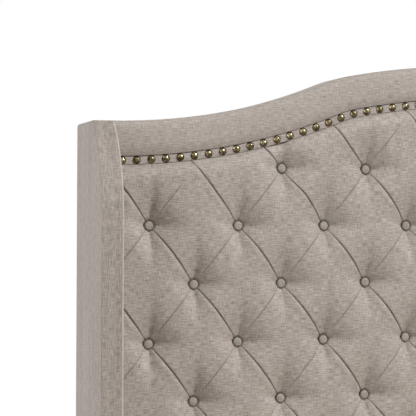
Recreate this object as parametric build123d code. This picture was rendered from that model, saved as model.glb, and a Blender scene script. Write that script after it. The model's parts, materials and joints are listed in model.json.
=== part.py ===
from build123d import *
from math import atan2, cos, floor, hypot, pi, radians, sin, sqrt
import os

# A queen size upholstered bed: a tufted camelback headboard between two wings, two side rails,
# a low footboard, and a slatted base on a centre beam with three legs.
# X is across the bed, Y points from the foot to the head, and Z is up. All sizes are in millimetres.

# The mattress and the bay that holds it
mattress_width = 1524
mattress_length = 2032
bay_side_gap = 1
bay_end_gap = 10
mattress_room = 250

# Side rails
rail_board_thick = 21
rail_pad = 5.75
rail_bottom = 152
rail_height = 191
rail_wing_gap = 0.5

# Headboard layers, from the back to the front
rear_cover_thick = 2
frame_depth = 45
ply_thick = 9
lower_pad_thick = 12
border_board_thick = 22
nail_band_thick = 2
border_rise = 10
tuft_depth = 41

# Headboard heights
glide_height = 12
panel_bottom = 170
tuft_bottom = 490
wing_top = 1448
crest_side_rise = 4.5

# The camelback crest: a flat shoulder, a hollow sweep, a knee and a crown, all tangent
shoulder_flat = 3
sweep_radius = 1181
sweep_turn = 22.18
knee_radius = 200
crown_turn = 11.26

# Bands along the crest
crest_pad = 10
border_width = 66.5
nail_band_width = 16.5
band_gap = 0.5
rear_cover_inset = 4
border_round = 8

# Tufting
tuft_pitch = 178
tuft_row_pitch = 112.3
top_row_drop = 80.6
tuft_side_margin = 60
tuft_edge_margin = 25
fold_depth = 8
edge_roll = 8
edge_roll_depth = 14
pit_mouth_radius = 78
pit_knee_radius = 34
pit_knee_depth = 11
pit_clear = 1
button_seat = 13
button_radius = 10.5
button_rim = 2
button_crown = 5
pit_gap = 0.7
tie_radius = 1.2
tie_hole_radius = 1.8
ply_tie_hole_radius = 3
tie_washer_radius = 8
tie_washer_thick = 2

# Nails
nail_pitch = 28.43
nail_radius = 8
nail_dome = 5
nail_end_gap = 1
nail_shank_radius = 1.1
nail_shank_length = 16

# Headboard frame
post_width = 70
frame_rail_height = 70
bottom_rail_height = 110
stud_width = 45
top_rail_margin = 15

# Wings
wing_thick = 42
wing_depth = 228
wing_nose_drop = 180
wing_nose_radius = 231
wing_back_round = 8
wing_pad = 6
wing_edge_round = 3.5
welt_radius = 2
welt_gap = 0.3
welt_forward = 0.5

# Bolts that hold the wings to the posts
bolt_radius = 4
bolt_clearance = 0.3
bolt_head_radius = 7
bolt_head_thick = 5
wing_bolt_heights = (360, 735, 1200)
wing_bolt_end_gap = 8
tee_nut_radius = 11
tee_nut_thick = 1.6
tee_nut_barrel_radius = 5.2
tee_nut_barrel_length = 12

# Brackets at the ends of the rails
bracket_thick = 3
bracket_leg = 60
bracket_flange = 50
bracket_bottom = 180
bracket_height = 140
bracket_bolt_inset = 25
bracket_bolt_edge = 30
head_bolt_length = 62
foot_bolt_length = 46
screw_radius = 2.4
screw_clearance = 0.2
screw_head_radius = 4.6
screw_head_thick = 2.5
screw_bite = 16
bracket_screw_edge = 20

# Slatted base
slat_top = 290
slat_thick = 19
slat_width = 70
slat_pitch = 146
slat_end_gap = 3
ledger_width = 30
ledger_height = 30
ledger_end_gap = 2
ledger_screw_pitch = 380
slat_screw_inset = 12
strap_width = 25
strap_thick = 1.5
strap_offset = 380

# Centre beam, its hangers and its legs
beam_width = 45
beam_height = 65
hanger_flange_half = 48
hanger_flange_drop = 16
hanger_shelf = 50
hanger_cheek_height = 44
hanger_gap = 0.3
hanger_screw_inset = 11
centre_leg_width = 45
centre_leg_lift = 26
centre_leg_pitch = 620
leg_bolt_length = 76
insert_radius = 6.5
insert_length = 20
leveller_pad_radius = 19
leveller_pad_thick = 8
leveller_nut_radius = 8
leveller_nut_thick = 4
leveller_stud_length = 58
leveller_fit = 0.05
leveller_travel = 12
stud_bore_clearance = 0.4

# Footboard
footboard_thick = 60
footboard_pad = 12
footboard_bottom = 102
footboard_height = 266
footboard_round = 10
foot_leg_top_width = 64
foot_leg_top_depth = 44
foot_leg_base_width = 50
foot_leg_base_depth = 34
foot_leg_side_inset = 22
foot_glide_height = 5
foot_bolt_rise = 50
glide_radius = 14

overrun = 20

# Places worked out from the sizes
half_bay = mattress_width / 2 + bay_side_gap
rail_thick = rail_board_thick + 2 * rail_pad
wing_inner = half_bay + rail_thick + rail_wing_gap
half_width = wing_inner + wing_thick
bay_length = mattress_length + 2 * bay_end_gap
head_stack = rear_cover_thick + frame_depth + ply_thick + tuft_depth
length = head_stack + bay_length + footboard_thick
y_back = length / 2
y_frame_back = y_back - rear_cover_thick
y_ply_back = y_frame_back - frame_depth
y_ply = y_ply_back - ply_thick
y_lower_pad = y_ply - lower_pad_thick
y_board = y_ply - border_board_thick
y_band = y_board - nail_band_thick
y_tuft = y_ply - tuft_depth
y_fold = y_tuft + fold_depth
y_button = y_ply - button_seat
y_wing = y_back - wing_depth
y_foot_front = -y_back
y_foot = y_foot_front + footboard_thick
y_post = y_ply_back + frame_depth / 2
y_footboard = y_foot_front + footboard_thick / 2
post_inner = wing_inner - post_width
crest_side = wing_top + crest_side_rise
board_bottom_inset = border_width + nail_band_width
tuft_top_inset = board_bottom_inset + band_gap
nail_inset = border_width + nail_band_width / 2
top_row_height = wing_top - top_row_drop
row_count = floor((top_row_height - tuft_bottom - tuft_side_margin) / tuft_row_pitch) + 1
half_columns = floor((wing_inner - tuft_side_margin) / tuft_pitch)
top_rail_bottom = top_row_height + tie_washer_radius + top_rail_margin
middle_row = floor(row_count / 2)
middle_rail_height = top_row_height - (middle_row - 1 / 2) * tuft_row_pitch
stud_offset = (floor(half_columns / 2) * 2 - 1 / 2) * tuft_pitch / 2
slat_bottom = slat_top - slat_thick
beam_bottom = slat_bottom - beam_height
bracket_top = bracket_bottom + bracket_height


def block(x0, x1, y0, y1, z0, z1):
    """A box between two corners."""
    centre = ((x0 + x1) / 2, (y0 + y1) / 2, (z0 + z1) / 2)
    return Pos(*centre) * Box(abs(x1 - x0), abs(y1 - y0), abs(z1 - z0))


def rod_x(radius, x0, x1, y, z):
    """A round bar along X."""
    return Pos((x0 + x1) / 2, y, z) * Rot(Y=90) * Cylinder(radius, abs(x1 - x0))


def rod_y(radius, y0, y1, x, z):
    """A round bar along Y."""
    return Pos(x, (y0 + y1) / 2, z) * Rot(X=90) * Cylinder(radius, abs(y1 - y0))


def rod_z(radius, z0, z1, x, y):
    """A round bar along Z."""
    return Pos(x, y, (z0 + z1) / 2) * Cylinder(radius, abs(z1 - z0))


def pieces(shape):
    """The solids of a shape."""
    return shape.solids()


def other_side(shape):
    """The same shape on the other side of the bed."""
    return mirror(shape, about=Plane.YZ)


def save(name, *shapes):
    """Write one piece, or one group of like pieces, to its own file."""
    solids = [solid for shape in shapes for solid in pieces(shape)]
    whole = solids[0] if len(solids) == 1 else Compound(children=solids)
    whole.label = name
    export_step(whole, f"parts/{name}.step")
    print(f"{name}: {len(solids)} solids")


def crest_arcs():
    """Centres, radii, turns and bends of the crest's arcs on the right half, from the crown outward."""
    sweep_angle = radians(sweep_turn)
    crown_angle = radians(crown_turn)
    sweep_x = wing_inner - shoulder_flat
    sweep_z = crest_side + sweep_radius
    knee_x = sweep_x - (sweep_radius + knee_radius) * sin(sweep_angle)
    knee_z = sweep_z - (sweep_radius + knee_radius) * cos(sweep_angle)
    crown_radius = knee_radius + knee_x / sin(crown_angle)
    crown_z = knee_z - (crown_radius - knee_radius) * cos(crown_angle)
    return [
        (0, crown_z, crown_radius, 0, crown_angle, 1),
        (knee_x, knee_z, knee_radius, crown_angle, sweep_angle, 1),
        (sweep_x, sweep_z, sweep_radius, sweep_angle, 0, -1),
    ]


def arc_point(arc, angle, inset):
    """A point of an arc of the crest, moved square to the crest by the inset."""
    x, z, radius, _, _, bend = arc
    reach = radius - bend * inset
    return (x + bend * reach * sin(angle), z + bend * reach * cos(angle))


def crest_length(inset):
    """The length of the right half of the crest at an inset, without its flat shoulder."""
    return sum((radius - bend * inset) * abs(end - start) for _, _, radius, start, end, bend in crest_arcs())


def crest_place(distance, inset):
    """The point of the crest at a distance from the middle, for an inset."""
    left = distance
    for arc in crest_arcs():
        _, _, radius, start, end, bend = arc
        reach = radius - bend * inset
        run = reach * abs(end - start)
        if left <= run:
            turn = left / reach
            angle = start + turn if end > start else start - turn
            return arc_point(arc, angle, inset)
        left -= run
    return (wing_inner - shoulder_flat + left, crest_side - inset)


def crest_height(x, inset):
    """The height of the crest at a place across the bed, for an inset."""
    across = abs(x)
    for arc in crest_arcs():
        centre_x, centre_z, radius, _, end, bend = arc
        if across <= arc_point(arc, end, inset)[0]:
            reach = radius - bend * inset
            return centre_z + bend * sqrt(reach ** 2 - (across - centre_x) ** 2)
    return crest_side - inset


def crest_edges(inset, half):
    """The crest from the left side to the right side, at an inset."""
    right = []
    for arc in crest_arcs():
        start, end = arc[3], arc[4]
        points = [arc_point(arc, angle, inset) for angle in (start, (start + end) / 2, end)]
        right.append(ThreePointArc(*points))
    last = arc_point(crest_arcs()[-1], 0, inset)
    right.append(Line(last, (half, crest_side - inset)))
    left = [mirror(edge, about=Plane.YZ) for edge in right]
    return left[::-1] + right


def crest_face(inset, half, bottom):
    """A face under the crest, down to a level bottom."""
    top = crest_side - inset
    sides = [
        Line((half, top), (half, bottom)),
        Line((half, bottom), (-half, bottom)),
        Line((-half, bottom), (-half, top)),
    ]
    return make_face(crest_edges(inset, half) + sides)


def band_face(upper_inset, lower_inset, half):
    """A face along the crest, between two insets."""
    sides = [
        Line((half, crest_side - upper_inset), (half, crest_side - lower_inset)),
        Line((-half, crest_side - upper_inset), (-half, crest_side - lower_inset)),
    ]
    return make_face(crest_edges(upper_inset, half) + crest_edges(lower_inset, half) + sides)


def facing(y):
    """The plane at a depth that looks towards the foot of the bed."""
    return Plane.XZ.offset(-y)


def slab(face, y_rear, y_front):
    """A face drawn across the bed, given its depth."""
    return extrude(facing(y_rear) * face, amount=y_rear - y_front)


def layered(faces):
    """A solid through faces at several depths, given as pairs of a depth and a face."""
    return loft([facing(y) * face for y, face in faces], ruled=True)


def tuft_places():
    """The places of the buttons, across the bed and up."""
    places = []
    for row in range(row_count):
        height = top_row_height - row * tuft_row_pitch
        shift = tuft_pitch / 2 if row % 2 == 0 else 0
        for column in range(-half_columns - 1, half_columns + 1):
            x = column * tuft_pitch + shift
            inside = abs(x) <= wing_inner - tuft_side_margin
            if inside and height <= crest_height(x, tuft_top_inset) - tuft_edge_margin:
                places.append((x, height))
    return places


def scallops(lean):
    """A slab of round pillows side by side, whose valleys run up the bed and lean to one side."""
    step_x = lean * tuft_pitch / 2
    run = hypot(step_x, tuft_row_pitch)
    spacing = tuft_pitch * tuft_row_pitch / run
    reach = hypot(wing_inner + tuft_pitch, top_row_height - tuft_bottom) + tuft_pitch
    count = floor(reach / spacing) + 1
    behind = y_ply + overrun
    edges = []
    for index in range(-count, count):
        start, end = index * spacing, (index + 1) * spacing
        points = [(start, y_fold), ((start + end) / 2, y_tuft), (end, y_fold)]
        edges.append(ThreePointArc(*points))
    edge = count * spacing
    edges.append(Line((edge, y_fold), (edge, behind)))
    edges.append(Line((edge, behind), (-edge, behind)))
    edges.append(Line((-edge, behind), (-edge, y_fold)))
    origin = (tuft_pitch / 2, 0, top_row_height)
    across = (tuft_row_pitch / run, 0, -step_x / run)
    along = (step_x / run, 0, tuft_row_pitch / run)
    plane = Plane(origin=origin, x_dir=across, z_dir=along)
    profile = make_face(edges)
    return extrude(plane * profile, amount=reach, both=True)


def tuft_pit():
    """The hollow at a button: four flat sides that steepen to its seat, with creases up, down and to both sides."""
    slope = (pit_mouth_radius - pit_knee_radius) / pit_knee_depth
    corners = [
        (y_button, (button_radius + pit_gap) * sqrt(2)),
        (y_tuft + pit_knee_depth, pit_knee_radius),
        (y_tuft - pit_clear, pit_mouth_radius + slope * pit_clear),
    ]
    return layered([(y, RegularPolygon(corner, 4)) for y, corner in corners])


def rolled(straight, drawn_in):
    """A block behind a face, then tapered towards the front to a second face."""
    roll_start = y_tuft + edge_roll_depth
    back = layered([(y_ply, straight), (roll_start, straight)])
    return back + layered([(roll_start, straight), (y_tuft - overrun, drawn_in)])


def rolled_edges():
    """The outline of the tufting, rolled down along the crest, at both sides and along the bottom."""
    half = wing_inner - band_gap
    bottom = tuft_bottom + band_gap
    top = crest_height(0, 0)
    draw = edge_roll * (edge_roll_depth + overrun) / edge_roll_depth
    crest = [crest_face(tuft_top_inset + inset, half, bottom) for inset in (0, draw)]
    sides = [Pos(0, (top + bottom + inset) / 2) * Rectangle(2 * (half - inset), top - bottom - inset)
             for inset in (0, draw)]
    return rolled(*crest) & rolled(*sides)


def tufted_panel():
    """The diamond tufting: two crossed sets of pillows, rolled down at the edges, with a pit at each button."""
    panel = rolled_edges() & scallops(1) & scallops(-1)
    one = tuft_pit()
    pits = [Pos(x, 0, z) * one for x, z in tuft_places()]
    holes = [rod_y(tie_hole_radius, y_button - overrun, y_ply + overrun, x, z) for x, z in tuft_places()]
    return panel - pits - holes


def crown_ball(radius, height, rim):
    """A ball that crowns a round piece whose edge is on the plane Y = -rim, its top towards -Y."""
    ball_radius = (radius ** 2 + height ** 2) / (2 * height)
    return Pos(0, ball_radius - height - rim, 0) * Sphere(ball_radius)


def button():
    """A covered button with a crowned face, its back on the origin and its face towards -Y."""
    body = rod_y(button_radius, 0, -button_rim - button_crown, 0, 0)
    return body & crown_ball(button_radius, button_crown, button_rim)


def tuft_buttons():
    """A button in each pit."""
    one = button()
    return [Pos(x, y_button, z) * one for x, z in tuft_places()]


def button_ties():
    """The twine of each button, through the foam and the plywood to a washer behind."""
    ties = []
    for x, z in tuft_places():
        twine = rod_y(tie_radius, y_button, y_ply_back, x, z)
        washer = rod_y(tie_washer_radius, y_ply_back, y_ply_back + tie_washer_thick, x, z)
        ties.append(twine + washer)
    return ties


def headboard_panel():
    """The plywood panel, with a hole for each tie."""
    face = crest_face(crest_pad + band_gap, wing_inner, panel_bottom)
    holes = [rod_y(ply_tie_hole_radius, y_ply - overrun, y_ply_back + overrun, x, z) for x, z in tuft_places()]
    return slab(face, y_ply_back, y_ply) - holes - head_bolt_holes() - hanger_screw_holes()


def nail_places():
    """The places of the nails along the crest, across the bed and up."""
    room = crest_length(nail_inset) + shoulder_flat - nail_radius - nail_end_gap
    count = floor(room / nail_pitch + 1 / 2)
    right = [crest_place((index + 1 / 2) * nail_pitch, nail_inset) for index in range(count)]
    left = [(-x, z) for x, z in right]
    return left[::-1] + right


def nail():
    """A domed nail, its head's rim on the origin and its shank along +Y."""
    room = 2 * nail_radius
    head = crown_ball(nail_radius, nail_dome, 0) & block(-room, room, -room, 0, -room, room)
    return head + rod_y(nail_shank_radius, 0, nail_shank_length, 0, 0)


def nail_holes():
    """Holes for the shanks of the nails."""
    end = y_band + nail_shank_length
    return [rod_y(nail_shank_radius, y_band - overrun, end, x, z) for x, z in nail_places()]


def nail_heads():
    """The row of domed nails."""
    one = nail()
    return [Pos(x, y_band, z) * one for x, z in nail_places()]


def border_board():
    """The board behind the border, which takes the nails."""
    face = band_face(crest_pad + band_gap, board_bottom_inset, wing_inner - band_gap)
    return slab(face, y_ply, y_board) - nail_holes()


def nail_band():
    """The flat band of fabric under the nails."""
    face = band_face(border_width + band_gap, board_bottom_inset, wing_inner - band_gap)
    return slab(face, y_board, y_band) - nail_holes()


def border_pad():
    """The padded border, crowned at the front and wrapped over the crest."""
    half = wing_inner - band_gap
    steps = 4
    sections = []
    for step in range(steps + 1):
        angle = pi / 2 * step / steps
        draw = border_round * (1 - cos(angle))
        depth = y_board - border_rise + border_round - border_round * sin(angle)
        sections.append((depth, band_face(draw, border_width - draw, half)))
    base = (y_board, band_face(0, border_width, half))
    front = layered([base] + sections)
    wrap = slab(band_face(0, crest_pad, half), y_frame_back, y_board)
    return wrap + front


def rear_cover():
    """The dust cover over the back of the headboard."""
    return slab(crest_face(rear_cover_inset, wing_inner, panel_bottom), y_back, y_frame_back)


def lower_panel_pad():
    """The plain padding below the tufting, behind the mattress."""
    pad = block(-wing_inner, wing_inner, y_lower_pad, y_ply, panel_bottom, tuft_bottom)
    return pad - head_bolt_holes() - hanger_screw_holes()


def under_crest(shape):
    """A piece of the frame, cut to the crest."""
    face = crest_face(crest_pad + band_gap, wing_inner, 0)
    return shape & slab(face, y_frame_back, y_ply_back)


def headboard_post():
    """The right post, cut to the crest and drilled for the wing and the rail."""
    post = block(post_inner, wing_inner, y_ply_back, y_frame_back, glide_height, crest_height(0, 0))
    holes = [rod_x(bolt_radius + bolt_clearance, post_inner - overrun, wing_inner + overrun, y_post, z)
             for z in wing_bolt_heights]
    return under_crest(post) - holes - head_bolt_holes()


def cross_rail(bottom, top):
    """A rail of the frame between the posts."""
    return block(-post_inner, post_inner, y_ply_back, y_frame_back, bottom, top)


def top_rail():
    """The rail under the crest, cut to the camelback."""
    return under_crest(cross_rail(top_rail_bottom, crest_height(0, 0)))


def middle_rail():
    """The rail between two rows of buttons."""
    half = frame_rail_height / 2
    return cross_rail(middle_rail_height - half, middle_rail_height + half)


def seat_rail():
    """The rail at the bottom of the tufting."""
    half = frame_rail_height / 2
    return cross_rail(tuft_bottom - half, tuft_bottom + half)


def bottom_rail():
    """The rail that carries the centre beam."""
    return cross_rail(panel_bottom, panel_bottom + bottom_rail_height) - hanger_screw_holes()


def studs(bottom, top):
    """A pair of upright studs between two rails."""
    half = stud_width / 2
    stud = block(stud_offset - half, stud_offset + half, y_ply_back, y_frame_back, bottom, top)
    return [stud, other_side(stud)]


def wing_profile(inset):
    """The side view of a wing, drawn in from its edge by an inset, with the nose as an arc."""
    front = y_wing + inset
    back = y_back - inset
    top = wing_top - inset
    nose_start = wing_top - wing_nose_drop
    radius = wing_nose_radius - inset
    centre = y_wing + wing_nose_radius
    end_angle = atan2(top - nose_start, sqrt(radius ** 2 - (top - nose_start) ** 2))
    middle = (centre - radius * cos(end_angle / 2), nose_start + radius * sin(end_angle / 2))
    end = (centre - radius * cos(end_angle), top)
    corner = wing_back_round
    bend = corner * (1 - cos(pi / 4))
    edges = [
        Line((front, glide_height), (front, nose_start)),
        ThreePointArc((front, nose_start), middle, end),
        Line(end, (back - corner, top)),
        ThreePointArc((back - corner, top), (back - bend, top - bend), (back, top - corner)),
        Line((back, top - corner), (back, glide_height)),
        Line((back, glide_height), (front, glide_height)),
    ]
    return make_face(edges)


def upright(face, x0, x1):
    """A side view drawn across the bed from one place to another."""
    return extrude(Plane.YZ.offset(x0) * face, amount=x1 - x0)


def wing_bolt_bores(radius, x0, x1):
    """Round bars on the axes of the wing bolts."""
    return [rod_x(radius, x0, x1, y_post, z) for z in wing_bolt_heights]


def wing_core():
    """The board inside the right wing, bored for its bolts and tee nuts."""
    inner = wing_inner + wing_pad
    outer = half_width - wing_pad
    core = upright(wing_profile(wing_pad), inner, outer)
    bores = wing_bolt_bores(bolt_radius + bolt_clearance, inner - overrun, outer)
    barrels = wing_bolt_bores(tee_nut_barrel_radius, outer - tee_nut_barrel_length, outer)
    flanges = wing_bolt_bores(tee_nut_radius, outer - tee_nut_thick, outer)
    return core - bores - barrels - flanges


def welt_path():
    """The line of the welt up the inner front edge of the right wing and round its nose."""
    inset = welt_forward
    nose_start = wing_top - wing_nose_drop
    radius = wing_nose_radius - inset
    centre = y_wing + wing_nose_radius
    rise = wing_nose_drop - inset - welt_radius
    end_angle = atan2(rise, sqrt(radius ** 2 - rise ** 2))
    points = [(centre - radius * cos(angle), nose_start + radius * sin(angle))
              for angle in (0, end_angle / 2, end_angle)]
    straight = Line((y_wing + inset, glide_height), points[0])
    plane = Plane.YZ.offset(wing_inner + welt_radius + welt_gap)
    return plane * Wire([straight, ThreePointArc(*points)])


def welt(radius):
    """A round bead along the welt's line."""
    path = welt_path()
    section = Plane(path @ 0, z_dir=path % 0) * Circle(radius)
    return sweep(section, path=path)


def wing_cover():
    """The padding and fabric round the right wing's core, open at the bottom."""
    outer = upright(wing_profile(0), wing_inner, half_width)
    rims = [edge for edge in outer.edges() if edge.center().Z > glide_height and edge.bounding_box().size.X < welt_gap]
    outer = fillet(rims, wing_edge_round)
    core = upright(wing_profile(wing_pad), wing_inner + wing_pad, half_width - wing_pad)
    bores = wing_bolt_bores(bolt_radius + bolt_clearance, wing_inner - overrun, wing_inner + wing_pad)
    return outer - core - bores - welt(welt_radius + welt_gap)


def wing_bolts():
    """The bolts from the right post into the wing."""
    bolts = []
    end = half_width - wing_bolt_end_gap
    for z in wing_bolt_heights:
        shank = rod_x(bolt_radius, post_inner, end, y_post, z)
        head = rod_x(bolt_head_radius, post_inner - bolt_head_thick, post_inner, y_post, z)
        bolts.append(shank + head)
    return bolts + [other_side(bolt) for bolt in bolts]


def wing_tee_nuts():
    """The tee nuts in the outer faces of the wing cores."""
    outer = half_width - wing_pad
    nuts = []
    for z in wing_bolt_heights:
        barrel = rod_x(tee_nut_barrel_radius, outer - tee_nut_barrel_length, outer, y_post, z)
        flange = rod_x(tee_nut_radius, outer - tee_nut_thick, outer, y_post, z)
        bore = rod_x(bolt_radius, outer - tee_nut_barrel_length - overrun, outer + overrun, y_post, z)
        nuts.append(barrel + flange - bore)
    return nuts + [other_side(nut) for nut in nuts]


def bracket_bolt_places():
    """The places of the bolts in the brackets, across the bed and up."""
    x = half_bay - bracket_bolt_inset
    heights = (bracket_bottom + bracket_bolt_edge, bracket_top - bracket_bolt_edge)
    return [(side * x, z) for side in (1, -1) for z in heights]


def head_bolt_holes():
    """Holes for the bolts into the headboard."""
    radius = bolt_radius + bolt_clearance
    end = y_lower_pad - bracket_thick + head_bolt_length
    return [rod_y(radius, y_lower_pad - overrun, end, x, z) for x, z in bracket_bolt_places()]


def foot_bolt_holes():
    """Holes for the bolts into the footboard."""
    radius = bolt_radius + bolt_clearance
    end = y_foot + bracket_thick - foot_bolt_length
    return [rod_y(radius, end, y_foot + overrun, x, z) for x, z in bracket_bolt_places()]


def rail_bolts():
    """The bolts through the brackets into the headboard and the footboard."""
    bolts = []
    for face, way, size in ((y_lower_pad, 1, head_bolt_length), (y_foot, -1, foot_bolt_length)):
        plate = face - way * bracket_thick
        for x, z in bracket_bolt_places():
            shank = rod_y(bolt_radius, plate, plate + way * size, x, z)
            head = rod_y(bolt_head_radius, plate - way * bolt_head_thick, plate, x, z)
            bolts.append(shank + head)
    return bolts


def bracket_screw_places():
    """The places of the bracket screws, along the bed and up."""
    heights = (bracket_bottom + bracket_screw_edge, bracket_top - bracket_screw_edge)
    ends = (y_lower_pad - bracket_leg + bracket_screw_edge, y_foot + bracket_leg - bracket_screw_edge)
    return [(y, z) for y in ends for z in heights]


def ledger_screw_places():
    """The places of the ledger screws, along the bed and up."""
    height = slat_bottom - ledger_height / 2
    count = floor(bay_length / 2 / ledger_screw_pitch)
    middle = (y_lower_pad + y_foot) / 2
    return [(middle + index * ledger_screw_pitch, height) for index in range(-count, count + 1)]


def rail_bores(x0, x1):
    """Holes in the right rail for the screws of its brackets and its ledger."""
    radius = screw_radius + screw_clearance
    return [rod_x(radius, x0, x1, y, z) for y, z in bracket_screw_places() + ledger_screw_places()]


def rail_bracket(face, way):
    """A right hand angle bracket, its flange on a face and its leg along the rail."""
    flange = block(half_bay - bracket_flange, half_bay, face, face - way * bracket_thick, bracket_bottom, bracket_top)
    leg = block(half_bay - bracket_thick, half_bay, face, face - way * bracket_leg, bracket_bottom, bracket_top)
    bolts = [rod_y(bolt_radius + bolt_clearance, face - overrun, face + overrun, x, z)
             for x, z in bracket_bolt_places() if x > 0]
    screws = [rod_x(screw_radius + screw_clearance, half_bay - overrun, half_bay + overrun, y, z)
              for y, z in bracket_screw_places()]
    return flange + leg - bolts - screws


def rail_brackets(face, way):
    """The pair of brackets at one end of the bed."""
    bracket = rail_bracket(face, way)
    return [bracket, other_side(bracket)]


def side_screw(x, y, z):
    """A screw driven outward, its head's underside at a place."""
    shank = rod_x(screw_radius, x, half_bay + rail_pad + screw_bite, y, z)
    head = rod_x(screw_head_radius, x - screw_head_thick, x, y, z)
    return shank + head


def bracket_screws():
    """The screws that hold the brackets to the rails."""
    right = [side_screw(half_bay - bracket_thick, y, z) for y, z in bracket_screw_places()]
    return right + [other_side(screw) for screw in right]


def ledger_screws():
    """The screws that hold the ledgers to the rails, their heads sunk in."""
    seat = half_bay - ledger_width + screw_head_thick
    right = [side_screw(seat, y, z) for y, z in ledger_screw_places()]
    return right + [other_side(screw) for screw in right]


def side_rail_board():
    """The board inside the right rail."""
    inner = half_bay + rail_pad
    board = block(inner, inner + rail_board_thick, y_foot, y_lower_pad,
                  rail_bottom + rail_pad, rail_bottom + rail_height - rail_pad)
    return board - rail_bores(inner - overrun, inner + screw_bite)


def side_rail_cover():
    """The padding and fabric round the right rail's board, open at both ends."""
    outer = block(half_bay, half_bay + rail_thick, y_foot, y_lower_pad, rail_bottom, rail_bottom + rail_height)
    rims = [edge for edge in outer.edges().filter_by(Axis.Y)]
    outer = fillet(rims, rail_pad / 2)
    inner = half_bay + rail_pad
    core = block(inner, inner + rail_board_thick, y_foot - overrun, y_lower_pad + overrun,
                 rail_bottom + rail_pad, rail_bottom + rail_height - rail_pad)
    return outer - core - rail_bores(half_bay - overrun, inner)


def ledger_ends():
    """Where the ledgers start and end along the bed."""
    room = bracket_leg + ledger_end_gap
    return y_foot + room, y_lower_pad - room


def slat_ledger():
    """The strip on the right rail that the slats rest on."""
    start, end = ledger_ends()
    strip = block(half_bay - ledger_width, half_bay, start, end, slat_bottom - ledger_height, slat_bottom)
    inner = half_bay - ledger_width
    bores = [rod_x(screw_radius + screw_clearance, inner, half_bay, y, z) for y, z in ledger_screw_places()]
    sinks = [rod_x(screw_head_radius + screw_clearance, inner, inner + screw_head_thick, y, z)
             for y, z in ledger_screw_places()]
    return strip - bores - sinks - slat_screw_bores()


def slat_places():
    """Where the slats lie along the bed."""
    start, end = ledger_ends()
    first = start + slat_width / 2
    last = end - slat_width / 2
    gaps = round((last - first) / slat_pitch)
    return [first + index * (last - first) / gaps for index in range(gaps + 1)]


def slat_screw_places():
    """The places of the screws in the end slats, across and along the bed."""
    x = half_bay - slat_end_gap - slat_screw_inset
    return [(side * x, y) for side in (1, -1) for y in (slat_places()[0], slat_places()[-1])]


def slat_screw_bores():
    """Holes for the screws of the end slats."""
    radius = screw_radius + screw_clearance
    bottom = slat_bottom - screw_bite
    sink = slat_top - screw_head_thick
    bores = [rod_z(radius, bottom, slat_top + overrun, x, y) for x, y in slat_screw_places()]
    sinks = [rod_z(screw_head_radius + screw_clearance, sink, slat_top + overrun, x, y)
             for x, y in slat_screw_places()]
    return bores + sinks


def slats():
    """The slats across the bay."""
    half = half_bay - slat_end_gap
    width = slat_width / 2
    boards = [block(-half, half, y - width, y + width, slat_bottom, slat_top) for y in slat_places()]
    ends = [boards[0] - slat_screw_bores(), boards[-1] - slat_screw_bores()]
    return [ends[0]] + boards[1:-1] + [ends[1]]


def slat_screws():
    """The screws that hold the end slats to the ledgers, their heads sunk in."""
    screws = []
    for x, y in slat_screw_places():
        neck = slat_top - screw_head_thick
        shank = rod_z(screw_radius, slat_bottom - screw_bite, neck, x, y)
        screws.append(shank + rod_z(screw_head_radius, neck, slat_top, x, y))
    return screws


def slat_straps():
    """The two webbing straps under the slats, which space them."""
    start, end = slat_places()[0], slat_places()[-1]
    half = strap_width / 2
    strap = block(strap_offset - half, strap_offset + half, start - slat_width / 2, end + slat_width / 2,
                  slat_bottom - strap_thick, slat_bottom)
    return [strap, other_side(strap)]


def centre_leg_places():
    """Where the centre legs stand along the bed."""
    middle = (y_lower_pad + y_foot) / 2
    return [middle - centre_leg_pitch, middle, middle + centre_leg_pitch]


def leg_bolt_bores(radius):
    """Round bars on the axes of the bolts between the beam and its legs."""
    half = leg_bolt_length / 2
    return [rod_z(radius, beam_bottom - half, beam_bottom + half, 0, y) for y in centre_leg_places()]


def centre_beam():
    """The beam under the middle of the slats."""
    half = beam_width / 2
    gap = bracket_thick + hanger_gap
    beam = block(-half, half, y_foot + gap, y_lower_pad - gap, beam_bottom, slat_bottom)
    return beam - leg_bolt_bores(bolt_radius)


def hanger_screw_points():
    """The places of the hanger screws, across the bed and up."""
    x = hanger_flange_half - hanger_screw_inset
    heights = (beam_bottom, beam_bottom + hanger_cheek_height)
    return [(side * x, z) for side in (1, -1) for z in heights]


def hanger_screw_holes():
    """Holes for the hanger screws in the headboard and the footboard."""
    radius = screw_radius + screw_clearance
    depth = lower_pad_thick + ply_thick + screw_bite
    head = [rod_y(radius, y_lower_pad - overrun, y_lower_pad + depth, x, z) for x, z in hanger_screw_points()]
    foot = [rod_y(radius, y_foot - footboard_pad - screw_bite, y_foot + overrun, x, z)
            for x, z in hanger_screw_points()]
    return head + foot


def hanger_screws():
    """The screws that hold the hangers."""
    screws = []
    for face, way, depth in ((y_lower_pad, 1, lower_pad_thick + ply_thick + screw_bite),
                             (y_foot, -1, footboard_pad + screw_bite)):
        plate = face - way * bracket_thick
        for x, z in hanger_screw_points():
            shank = rod_y(screw_radius, plate, face + way * depth, x, z)
            screws.append(shank + rod_y(screw_head_radius, plate - way * screw_head_thick, plate, x, z))
    return screws


def beam_hanger(face, way):
    """The steel cradle that holds one end of the beam on a face."""
    plate = face - way * bracket_thick
    shelf_end = plate - way * hanger_shelf
    inner = beam_width / 2 + hanger_gap
    outer = inner + bracket_thick
    bottom = beam_bottom - bracket_thick
    flange = block(-hanger_flange_half, hanger_flange_half, face, plate, beam_bottom - hanger_flange_drop,
                   slat_bottom)
    shelf = block(-outer, outer, plate, shelf_end, bottom, beam_bottom)
    cheek = block(inner, outer, plate, shelf_end, bottom, beam_bottom + hanger_cheek_height)
    holes = [rod_y(screw_radius + screw_clearance, face - overrun, face + overrun, x, z)
             for x, z in hanger_screw_points()]
    return flange + shelf + cheek + other_side(cheek) - holes


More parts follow.
